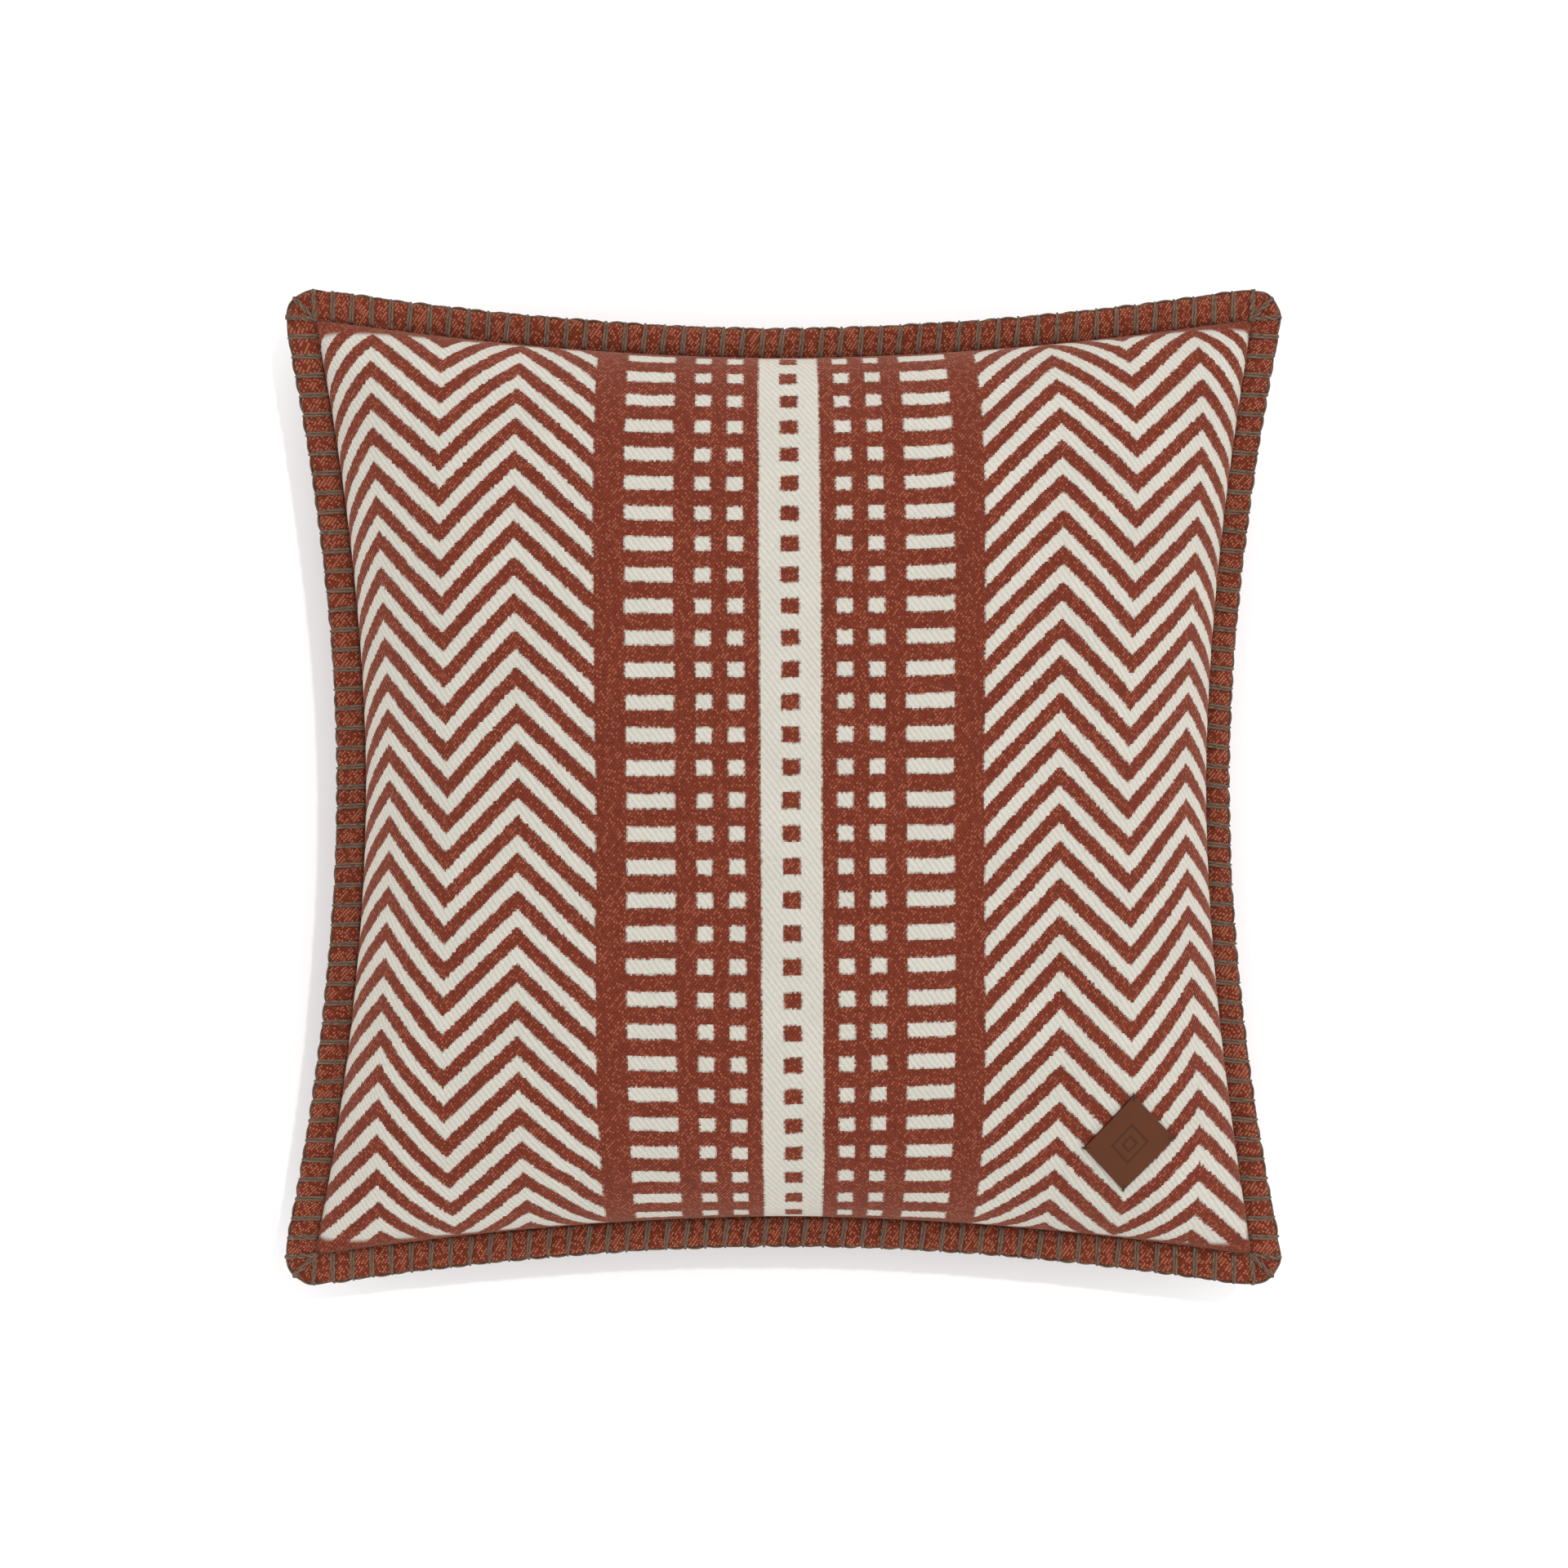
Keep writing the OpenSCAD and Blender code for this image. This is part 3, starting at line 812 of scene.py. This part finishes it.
def hide(name):
    """Smooth leather with a fine grain, darker where the mark is pressed into it."""
    paint = Paint(name)
    mark = paint.seam_place()
    place = paint.object_place()
    cells = paint.node("TexVoronoi", {"Vector": place, "Scale": 1500}, feature="DISTANCE_TO_EDGE")
    grain = Signal(paint.tree, cells["Distance"])
    cloud = paint.noise(place, 60, 3.0)
    pores = paint.noise(place, 900, 2.0)
    colour = paint.mix(cloud, LEATHER_DARK, LEATHER)
    colour = paint.brighten(colour, pores.level(0.9, 1.1) * mark.level(1.0, 0.6))
    height = grain * 0.5 + pores * 0.5
    return paint.finish(colour, height, 0.05 * MM, roughness=0.55, specular_ior_level=0.18)


def plain_weave(name, colour, shade, pitch, roughness=0.8, sheen=0.1):
    """A fine plain weave, measured from the object's own place."""
    paint = Paint(name)
    place = paint.object_place()
    x, y = paint.split(place, 1 / MM)
    over = (x / pitch).math("SINE") * (y / pitch).math("SINE")
    fibres = paint.noise(place, 1800, 2.0)
    tone = paint.mix((over * 0.5).math("ADD", 0.5, clamp=True) * 0.5 + fibres * 0.4, colour, shade)
    return paint.finish(tone, over + fibres, 0.08 * MM, roughness=roughness, sheen_weight=sheen)


def metal(name, colour, worn, roughness):
    """Plated zinc, rubbed brighter in places."""
    paint = Paint(name)
    place = paint.object_place()
    rub = paint.noise(place, 260, 3.0)
    scratch = paint.noise(place, 2500, 2.0)
    tone = paint.mix(rub.above(0.55, 0.2), colour, worn)
    return paint.finish(tone, scratch, 0.01 * MM, metallic=1.0, roughness=roughness)


# ---- cloth simulation ----

def settle_cover(cells=44, frames=20, pressure=4.0, cap=2.5 * MM):
    """Blows the crown up like a stuffed cover with its seam held, and keeps how far each point moved.
    The moves fade out towards the seam, where the stiff seam allowance holds the cloth."""
    lines = even_lines(cells)
    n = len(lines)
    s, t = np.meshgrid(lines, lines, indexing="ij")
    front = front_top(s, t).reshape(-1, 3)
    back = back_outer(s, t).reshape(-1, 3)
    ring = grid_ring(n, n)
    seam = np.zeros(n * n, bool)
    seam[ring] = True
    middle = (front[seam] + back[seam]) / 2
    front[seam] = middle
    twin = np.arange(n * n) + n * n
    twin[seam] = np.flatnonzero(seam)
    faces = list(grid_faces(n, n)) + [twin[face] for face in grid_faces(n, n, 0, True)]
    used = np.concatenate([np.arange(n * n), np.arange(n * n)[~seam] + n * n])
    place_of = np.zeros(2 * n * n, int)
    place_of[used] = np.arange(len(used))
    vertices = np.concatenate([front, back[~seam]])
    mesh = bpy.data.meshes.new("settling")
    mesh.from_pydata(vertices.tolist(), [], [place_of[face].tolist() for face in faces])
    cover = add("settling", mesh)
    low = (back[:, 2] < 2 * MM) & ~seam
    held = cover.vertex_groups.new(name="held")
    held.add(np.flatnonzero(seam).tolist(), 1.0, "REPLACE")
    held.add([int(k) for k in place_of[np.flatnonzero(low) + n * n]], 1.0, "REPLACE")
    cloth = cover.modifiers.new("cloth", "CLOTH").settings
    cloth.quality = 5
    cloth.mass = 0.3
    cloth.tension_stiffness = 12
    cloth.compression_stiffness = 12
    cloth.shear_stiffness = 6
    cloth.bending_stiffness = 1.5
    cloth.use_pressure = True
    cloth.uniform_pressure_force = pressure
    cloth.shrink_min = -0.012
    cloth.vertex_group_mass = "held"
    cloth.effector_weights.gravity = 0
    scene.frame_start, scene.frame_end = 1, frames
    for number in range(1, frames + 1):
        scene.frame_set(number)
    shown = cover.evaluated_get(bpy.context.evaluated_depsgraph_get()).data
    after = np.zeros(len(vertices) * 3)
    shown.vertices.foreach_get("co", after)
    scene.frame_set(1)
    move = after.reshape(-1, 3) - vertices
    far = np.linalg.norm(move, axis=1, keepdims=True)
    move = move / np.maximum(far, 1e-9) * cap * np.tanh(far / cap)
    bpy.data.objects.remove(cover)
    both = np.zeros((2 * n * n, 3))
    both[used] = move
    free = 1 - np.maximum(np.abs(s), np.abs(t)).reshape(-1, 1) ** 4
    both *= np.concatenate([free, free])
    settled["front"] = Field(lines, both[:n * n].reshape(n, n, 3))
    settled["back"] = Field(lines, both[n * n:].reshape(n, n, 3))


settle_cover()


# ---- camera first, then the pieces ----

LENS = 91.92
SENSOR = 36
CAMERA_DISTANCE = 2.0

camera_data = bpy.data.cameras.new("camera")
camera_data.sensor_width = SENSOR
camera_data.lens = LENS
camera = add("camera", camera_data)
camera.location = (0.4 * MM, 1.6 * MM, SEAM_HEIGHT + CLOTH + CAMERA_DISTANCE)
bpy.context.scene.camera = camera

front_wool = wool("woven_wool", True)
plain_wool = wool("plain_wool", False)
edge_yarn_look = spun("edge_yarn_wool", (OLIVE_DARK, OLIVE, OLIVE_LIGHT))
rust_thread_look = spun("rust_thread", (RUST_DEEP, RUST, RUST_SPECK), depth=0.04 * MM)
dark_thread_look = spun("dark_thread", (OLIVE_DARK, (0.05, 0.03, 0.02), OLIVE), depth=0.04 * MM)
leather_look = hide("brown_leather")

front_lines = even_lines(120, FLANGE_CELLS)
front = sheet_mesh("woven_front", front_top, front_under, front_lines, front_wool)
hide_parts("front_panel")


# ---- back panels ----

def gap_at(x):
    """Half the width of the gap between the folded edges, which closes past the zip's ends."""
    part = np.clip((GAP_CLOSED - np.abs(x)) / (GAP_CLOSED - GAP_END), 0, 1)
    return part * part * (3 - 2 * part)


def back_half(name, side):
    """One part of the back: a loft of closed sections from the cut edge to the folded edge and back."""
    zip_t = ZIP_Y / (HALF - END_PULL - FLANGE)
    width = HALF - SIDE_PULL * pull_in(share(zip_t))
    gap_ends = np.linspace(GAP_END, GAP_CLOSED, 5) / (width - FLANGE)
    columns = np.unique(np.concatenate([even_lines(80, FLANGE_CELLS), -gap_ends, gap_ends]))
    steps = 70
    fold_steps = 8
    hem_steps = 4
    ease = np.linspace(0, 1, steps + 1)
    flange_steps = 1 + np.arange(1, FLANGE_CELLS + 1) / FLANGE_CELLS
    rings, places, past = [], [], []
    for s in columns:
        x = float(across(s, width))
        opening = float(gap_at(x))
        edge_y = ZIP_Y + side * GAP_HALF * opening
        depth = float(HALF - END_PULL * pull_in(share(s)) - FLANGE)
        radius = CLOTH * (0.5 + 0.5 * opening)
        start = (edge_y + side * radius) / depth
        t = np.concatenate([start + (side - start) * ease, side * flange_steps])
        outer = back_outer(np.full_like(t, s), t)
        inner = back_inner(np.full_like(t, s), t)
        angle = np.radians(np.linspace(-90, -270, fold_steps + 1)[1:-1])
        x0, y0, z0 = outer[0]
        lift = inner[0][2] - outer[0][2]
        tall = CLOTH * opening + lift
        fold = stack(x0, y0 + side * tall / 2 * np.cos(angle), z0 + tall / 2 + tall / 2 * np.sin(angle))
        hem_y = np.linspace(0, HEM_DEPTH, hem_steps + 1)
        hem = stack(x0, y0 + side * hem_y, z0 + tall)
        hem_t = start + hem_y / depth * side
        level = back_inner(np.full_like(hem_t, s), hem_t)
        hem[:, 2] = level[:, 2] + CLOTH * opening
        after = np.abs(t - start) * depth > HEM_DEPTH
        inner = np.where(after[:, None], inner, level[-1])
        rings.append(np.concatenate([outer[::-1], fold, hem, inner]))
        v = np.concatenate([t[::-1], np.full(fold_steps - 1, start), hem_t, t])
        places.append(np.stack([np.full_like(v, x), v * depth], axis=-1))
        past.append(past_layer(np.full_like(v, s), v))
    rings = np.array(rings)
    n, m = rings.shape[:2]
    i, j = np.meshgrid(np.arange(n - 1), np.arange(m), indexing="ij")
    a, b = i * m + j, i * m + (j + 1) % m
    faces = np.stack([a, b, b + m, a + m], axis=-1).reshape(-1, 4)
    faces = list(faces if side < 0 else faces[:, ::-1])
    count = steps + 1 + len(flange_steps)
    for column, flip in ((0, side > 0), (n - 1, side < 0)):
        first = column * m
        for k in range(count - 1):
            quad = [first + k, first + k + 1, first + m - 2 - k, first + m - 1 - k]
            faces.append(quad if flip else quad[::-1])
        rest = [first + k for k in range(count - 1, m - count + 1)]
        faces.append(rest if flip else rest[::-1])
    places, past = np.concatenate(places), np.concatenate(past)
    return make_mesh(name, rings.reshape(-1, 3), faces, plain_wool, uv=places, past=past)


back_upper = back_half("back_above_zip", 1)
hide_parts("back_panel_upper")
back_lower = back_half("back_below_zip", -1)
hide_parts("back_panel_lower")


# ---- blanket stitch ----

def side_place(side, along, out):
    """Side 0 is the top, then right, bottom and left."""
    return ((along, out), (out, -along), (-along, -out), (-out, along))[side]


def edge_place(side, along, out, lift):
    """A point on the flange: lift 1 is on its front, -1 on its back, and 0 between them."""
    s, t = side_place(side, along, out)
    over = front_top(s, t)
    under = back_outer(s, t)
    return (over + under) / 2 + (over - under) / 2 * lift


def wrap(place, root_out, edge_out, slant):
    """The path of one stitch round the flange: down through it at the root, and over its cut edge.
    place(out, lift, shift) gives a point of the flange."""
    flat = 1 + YARN_SEAT / CLOTH
    run = np.linspace(root_out, edge_out, 5)
    points = [place(root_out - 0.03, 0.2, slant)]
    points += [place(out, flat, slant * (1 - k / 4)) for k, out in enumerate(run)]
    beyond = edge_out + 0.65 * YARN_R / FLANGE
    points += [place(beyond, lift, 0) for lift in (0.75, 0, -0.75)]
    points += [place(out, -flat, slant * (k / 4)) for k, out in enumerate(run[::-1])]
    points += [place(root_out - 0.03, -0.2, slant)]
    return points


# How far the stitches in the middle of each side lean, as a share of its half length
STITCH_SLANT = (-0.0065, -0.0065, -0.0080, 0.0020)

# No two stitches are alike: their lean, root and twist vary about this much. The twist is in radians.
LEAN_SPREAD = 0.0012
ROOT_SPREAD = 0.02
TWIST = -0.7
TWIST_SPREAD = 0.2

# Each side's name, and the way along it
SIDE_NAMES = ("top", "right", "bottom", "left")
SIDE_WAYS = ((1, 0, 0), (0, -1, 0), (-1, 0, 0), (0, 1, 0))


def stitch_at(k):
    return -STITCH_SPAN + 2 * STITCH_SPAN * k / STITCHES


def blanket_stitches(side):
    yarn = Strands()
    for k in range(STITCHES + 1):
        along = stitch_at(k)
        lean = STITCH_SLANT[side] * (1 - along ** 2) + rng.normal(0, LEAN_SPREAD)
        root = LEG_ROOT + rng.normal(0, ROOT_SPREAD)

        def place(out, lift, shift, along=along):
            return edge_place(side, along + shift, out, lift)

        turn = rng.normal(TWIST, TWIST_SPREAD)
        yarn.yarn(wrap(place, root, 2.0, lean), YARN_R, LEG_PITCH, YARN_STEP, turn, SIDE_WAYS[side])
    for k in range(STITCHES):
        a, b = stitch_at(k), stitch_at(k + 1)
        run = []
        for f in (0.0, 0.25, 0.5, 0.75, 1.0):
            beyond = (0.3 + 0.15 * math.sin(math.pi * f)) * YARN_R / FLANGE
            run.append(edge_place(side, a + (b - a) * f, 2 + beyond, 0.3 - 0.3 * abs(f - 0.5)))
        yarn.yarn(run, EDGE_YARN_R, EDGE_PITCH, YARN_STEP)
    yarn.yarn(corner_run(side), EDGE_YARN_R, EDGE_PITCH, YARN_STEP)
    piece = yarn.piece(f"blanket_stitch_{SIDE_NAMES[side]}", edge_yarn_look, "edge_yarn")
    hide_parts(f"edge_yarn_{SIDE_NAMES[side]}")


def corner_edge(side, f, lift, over):
    """A point just outside the rounded corner after a side's end: f runs from 0 to 1 round it."""
    if f < 0.5:
        along, out = 1 + 2 * f, 2.0
    else:
        along, out = 2.0, 1 + 2 * (1 - f)
    s, t = side_place(side, along, out)
    x, y = plan(s, t)
    ahead = side_place(side, 1.0, 1.0)
    away = np.array([x, y]) - np.array(plan(*ahead))
    away = away / np.linalg.norm(away)
    z = seam_z(s, t) + lift * CLOTH
    return np.array([x + away[0] * over, y + away[1] * over, z])


def corner_run(side):
    """The edge yarn round the corner that follows a side."""
    over = YARN_R * 0.5
    first = edge_place(side, stitch_at(STITCHES), 2 + over / FLANGE, 0.4)
    last = edge_place((side + 1) % 4, stitch_at(0), 2 + over / FLANGE, 0.4)
    ring = [corner_edge(side, f, 0.45, over) for f in np.linspace(0.04, 0.96, 9)]
    return [first] + ring + [last]


def corner_fans():
    """Three stitches that fan out from one hole at each corner of the seam."""
    yarn = Strands()
    flat = CLOTH + YARN_SEAT
    up = np.array([0, 0, 1.0])
    for side in range(4):
        hole = side_place(side, 1.06, 1.06)
        root = np.array([*plan(*hole), seam_z(*hole)])
        for f in (0.06, 0.5, 0.94):
            edge = corner_edge(side, f, 0, 0)
            beyond = corner_edge(side, f, 0, YARN_R * 0.6)
            edge[2] = beyond[2] = seam_z(*hole)
            legs = [root + (edge - root) * g for g in (0.02, 0.3, 0.65, 1.0)]
            points = [root + up * CLOTH * 0.3]
            points += [p + up * (flat + 0.35 * MM * math.sin(math.pi * k / 3)) for k, p in enumerate(legs)]
            points += [beyond + up * CLOTH * g for g in (0.7, 0, -0.7)]
            points += [p - up * flat for p in legs[::-1]]
            points += [root - up * CLOTH * 0.3]
            yarn.yarn(points, YARN_R, FAN_PITCH, YARN_STEP)
    piece = yarn.piece("blanket_stitch_corners", edge_yarn_look, "edge_yarn")
    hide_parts("edge_yarn_corners")


for number in range(4):
    blanket_stitches(number)
corner_fans()


# ---- seam stitches ----

def lock_stitches(strands, line, count, radius, fill=0.8, rise=0.35 * MM):
    """Short stitches along a line; line(f) gives a point and the way out of the cloth."""
    for k in range(count):
        points = []
        for g in (0, 0.25, 0.5, 0.75, 1):
            point, out = line((k + 0.1 + fill * g) / count)
            points.append(point + out * (rise * (math.sin(math.pi * g) ** 0.5) - radius * 0.6))
        strands.thread(points, radius, YARN_STEP)


def cover_seam():
    strands = Strands(5)
    for side in range(4):
        for face in (1, -1):
            def line(f, side=side, face=face):
                return edge_place(side, -1 + 2 * f, 1.03, face), np.array([0, 0, face])

            lock_stitches(strands, line, 110, THREAD_R, rise=0.15 * MM)
    piece = strands.piece("seam_stitches", rust_thread_look, "sewing_thread")
    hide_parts("cover_seam_thread")


cover_seam()


def hem_stitches(side, name):
    strands = Strands(5)

    def line(f):
        x = HEM_REACH * (2 * f - 1)
        y = ZIP_Y + side * (GAP_HALF + HEM_THREAD)
        return np.array([x, y, 0.25 * MM]), np.array([0, 0, -0.2])

    lock_stitches(strands, line, 100, THREAD_R)
    piece = strands.piece("hem_stitches_" + name, rust_thread_look, "sewing_thread")
    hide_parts("zip_thread_" + name)


hem_stitches(1, "upper")
hem_stitches(-1, "lower")


# ---- leather patch ----

def place_at(x, y):
    """The (s, t) of a point of the crown, from its plan."""
    s, t = x / HALF, y / HALF
    for _ in range(8):
        s = x / (HALF - SIDE_PULL * pull_in(share(t)) - FLANGE)
        t = y / (HALF - END_PULL * pull_in(share(s)) - FLANGE)
    return s, t


def patch_normal(s, t):
    step = 1e-3
    du = front_top(s + step, t) - front_top(s - step, t)
    dv = front_top(s, t + step) - front_top(s, t - step)
    normal = np.cross(du, dv)
    return normal / np.linalg.norm(normal, axis=-1, keepdims=True)


PATCH_MIDDLE = (PATCH_LOW + PATCH_HIGH) / 2
PATCH_FACES = patch_normal(*place_at(np.array(PATCH_MIDDLE.x), np.array(PATCH_MIDDLE.y)))
PATCH_RIGHT = np.cross([0, 1, 0], PATCH_FACES)
PATCH_RIGHT /= np.linalg.norm(PATCH_RIGHT)
PATCH_UP = np.cross(PATCH_FACES, PATCH_RIGHT)


def patch_place(a, b):
    """The cloth's (s, t) under a point of the diamond; a and b run from -1 to 1 along its sides."""
    wide, tall = math.radians(PATCH_TURN_WIDE), math.radians(PATCH_TURN_TALL)
    along = (a + b) / 2 * PATCH_HALF * PATCH_WIDE
    upward = (a - b) / 2 * PATCH_HALF * PATCH_TALL
    right = along * math.cos(wide) - upward * math.sin(tall)
    up = upward * math.cos(tall) + along * math.sin(wide)
    x = PATCH_MIDDLE.x + right * PATCH_RIGHT[0] + up * PATCH_UP[0]
    y = PATCH_MIDDLE.y + right * PATCH_RIGHT[1] + up * PATCH_UP[1]
    return place_at(x, y)


def patch_surface(a, b, lift):
    s, t = patch_place(a, b)
    return front_top(s, t) + patch_normal(s, t) * np.asarray(lift)[..., None]


def leather_patch():
    bevel = 0.8 * MM
    crease_in, crease_half, crease_depth = 1.7 * MM, 0.28 * MM, 0.16 * MM
    half_side = PATCH_HALF / math.sqrt(2)
    rim = 1 - np.array([0, 0.12, 0.3, 0.6, 1.0]) * bevel / half_side
    inner = np.linspace(0, rim[-1], 37)
    half_lines = np.concatenate([inner, rim[-2::-1]])
    lines = np.concatenate([-half_lines[:0:-1], half_lines])
    a, b = np.meshgrid(lines, lines, indexing="ij")
    to_edge = np.minimum(1 - np.abs(a), 1 - np.abs(b)) * half_side
    drop = bevel - np.sqrt(np.maximum(bevel ** 2 - np.maximum(bevel - to_edge, 0) ** 2, 0))
    crease = np.exp(-((to_edge - crease_in) / crease_half) ** 2) * crease_depth
    ring = np.maximum(np.abs(a), np.abs(b)) * half_side
    mark = sum(np.exp(-((ring - far) / MARK_HALF) ** 2) for far in MARK_RINGS)
    top = patch_surface(a, b, PATCH_LIFT + PATCH_THICK - drop - crease - mark * MARK_DEPTH)
    bottom = patch_surface(a, b, np.full_like(a, PATCH_LIFT * 0.4))
    pressed = np.zeros((2 * a.size, 2))
    pressed[:a.size, 0] = np.minimum(mark, 1).ravel() * MM
    piece = slab_mesh("leather_diamond", top, bottom, leather_look, True, pressed)
    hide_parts("leather_patch")


def corner_tacks():
    strands = Strands(7)
    for a, b in ((1, 1), (1, -1), (-1, 1), (-1, -1)):
        way = (0.88, 0.90, 0.95, 0.99, 1.02, 1.03)
        lifts = np.array([0.4, 1.25, 1.3, 1.05, 0.35, -0.5]) * PATCH_THICK + PATCH_LIFT
        points = [patch_surface(a * g, b * g, lift) for g, lift in zip(way, lifts)]
        strands.thread(points, TACK_R, 0.4 * MM)
    piece = strands.piece("tack_stitches", dark_thread_look, "edge_yarn")
    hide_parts("patch_tacks")


leather_patch()
corner_tacks()


# ---- pad inside ----

PAD_INSET = 12 * MM
PAD_GAP = 0.8 * MM
RIM_HALF = 1 * MM
CASING = 0.8 * MM
FILL_DEPTH = 0.9 * MM
PAD_FLOOR = 7.7 * MM

ticking = plain_weave("cotton_ticking", (0.66, 0.635, 0.575), (0.52, 0.50, 0.435), 0.11)
fleece = plain_weave("polyester_fill", (0.75, 0.75, 0.74), (0.64, 0.64, 0.635), 0.5, 1.0, 0.3)


def pad_front(s, t, depth):
    x, y = plan(s, t)
    draw = 1 - (PAD_INSET + depth) / HALF
    z = seam_z(s, t) + RIM_HALF - depth + (CROWN - PAD_GAP - RIM_HALF) * swell(s) * swell(t)
    return moved("front", s, t, stack(x * draw, y * draw, z))


def pad_back(s, t, depth):
    x, y = plan(s, t)
    draw = 1 - (PAD_INSET + depth) / HALF
    return stack(x * draw, y * draw, back_z(s, t, seam_z(s, t) - RIM_HALF + depth, PAD_FLOOR + depth))


def pad_sheet(name, node, upper, under, look, face_up):
    piece = sheet_mesh(name, upper, under, even_lines(40), look, face_up)
    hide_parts(node)
    return piece


pad_top = pad_sheet(
    "ticking_front", "pad_casing_front",
    lambda s, t: pad_front(s, t, 0), lambda s, t: pad_front(s, t, CASING), ticking, True,
)
pad_bottom = pad_sheet(
    "ticking_back", "pad_casing_back",
    lambda s, t: pad_back(s, t, 0), lambda s, t: pad_back(s, t, CASING), ticking, False,
)
filling = pad_sheet(
    "polyester_filling", "pad_fill",
    lambda s, t: pad_front(s, t, FILL_DEPTH), lambda s, t: pad_back(s, t, FILL_DEPTH),
    fleece, True,
)


# ---- zip ----

def coil(name, side):
    """A nylon coil: a flattened spiral along the tape's edge."""
    low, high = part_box("zip_coil_" + name)
    wire = 0.32 * MM
    pitch = 2 * MM
    steps = 14
    turns = int((high.x - low.x) / pitch) - 1
    angle = np.arange(turns * steps + 1) / steps * 2 * np.pi
    middle_y, middle_z = (low.y + high.y) / 2, (low.z + high.z) / 2
    reach_y, reach_z = (high.y - low.y) / 2 - wire, (high.z - low.z) / 2 - wire
    x = low.x + pitch / 2 + angle / (2 * np.pi) * pitch
    path = stack(x, middle_y + reach_y * np.cos(angle) * side, middle_z + reach_z * np.sin(angle))
    side_way, other = path_frames(path)
    length = np.concatenate([[0], np.cumsum(np.linalg.norm(np.diff(path, axis=0), axis=1))])
    strands = Strands(6)
    strands.tube(path, length, side_way, other, wire)
    piece = strands.piece("nylon_coil_" + name, nylon, "zip_coil")
    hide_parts("zip_coil_" + name)


nylon = spun("zip_nylon", ((0.13, 0.025, 0.015), (0.20, 0.04, 0.025), (0.26, 0.06, 0.035)), 0.01 * MM, 0.35)
coil("upper", 1)
coil("lower", -1)

tape_look = plain_weave("zip_tape_weave", (0.18, 0.036, 0.022), (0.13, 0.024, 0.015), 0.16, 0.85)


def tape(name, side):
    """A woven tape on the inside of the hem. Its tails close the slit past the stops."""
    low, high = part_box("zip_tape_" + name)
    near, far = sorted((abs(low.y - ZIP_Y), abs(high.y - ZIP_Y)))
    columns, rows = 177, 9
    x = np.linspace(-TAPE_REACH, TAPE_REACH, columns)[:, None]
    tail = np.clip((np.abs(x) - TAIL_FROM) / TAIL_OVER, 0, 1)
    edge = near * (1 - tail) + TAIL_GAP * tail
    y = ZIP_Y + side * (edge + (far - edge) * np.linspace(0, 1, rows))
    s, t = place_at(*np.broadcast_arrays(x, y))
    z = np.maximum(low.z, back_inner(s, t)[..., 2] + TAPE_CLEAR)
    thick = high.z - low.z
    piece = slab_mesh(
        "woven_tape_" + name, stack(x, y, z + thick), stack(x, y, z), tape_look, side < 0,
    )
    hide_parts("zip_tape_" + name)


tape("upper", 1)
tape("lower", -1)

satin = plain_weave("label_satin", (0.70, 0.68, 0.63), (0.61, 0.59, 0.54), 0.09, 0.4)
brass = metal("antique_brass", (0.30, 0.23, 0.14), (0.52, 0.42, 0.27), 0.34)
cotton_thread = plain_weave("cotton_thread", (0.64, 0.62, 0.56), (0.52, 0.50, 0.435), 0.2)

for nodes, look in (
    (("zip_top_stops", "zip_bottom_stop", "zip_slider", "zip_pull"), brass),
    (("care_label",), satin),
    (("pad_seam_thread",), cotton_thread),
):
    for node in nodes:
        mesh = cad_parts[node].data
        mesh.materials.clear()
        mesh.materials.append(look)

# ---- studio ----

FLOOR_HALF = 6.0
KEY_FROM = 16.5, 18, 60
FILL_AT = 1.3, 1.2, 1.4


def studio_floor():
    mesh = bpy.data.meshes.new("floor")
    corners = [(x * FLOOR_HALF, y * FLOOR_HALF, 0) for x, y in ((-1, -1), (1, -1), (1, 1), (-1, 1))]
    mesh.from_pydata(corners, [], [(0, 1, 2, 3)])
    paint = Paint("studio_floor")
    mottle = paint.noise(paint.object_place(), 3.0)
    white = paint.mix(mottle, (0.95, 0.95, 0.95), (0.965, 0.965, 0.965))
    mesh.materials.append(paint.finish(white, roughness=0.9))
    return add("floor", mesh)


def studio():
    floor = studio_floor()
    world = bpy.data.worlds.new("studio")
    world.use_nodes = True
    world.node_tree.nodes["Background"].inputs["Color"].default_value = (1.0, 1.0, 1.0, 1.0)
    world.node_tree.nodes["Background"].inputs["Strength"].default_value = 1.25
    scene.world = world
    scene.view_settings.view_transform = "Standard"

    key = bpy.data.lights.new("key", "SUN")
    key.energy = 0.68
    key.angle = math.radians(1.5)
    add("key", key).rotation_euler = direction_angles(*KEY_FROM)

    fill = bpy.data.lights.new("fill", "AREA")
    fill.energy = 5
    fill.size = 1.6
    fill_light = add("fill", fill)
    fill_light.location = FILL_AT
    fill_light.rotation_euler = direction_angles(*FILL_AT)


def direction_angles(x, y, z):
    """The turn of a light that shines from that direction to the origin."""
    return (math.atan2(math.hypot(x, y), z), 0, math.atan2(y, x) + math.pi / 2)


studio()
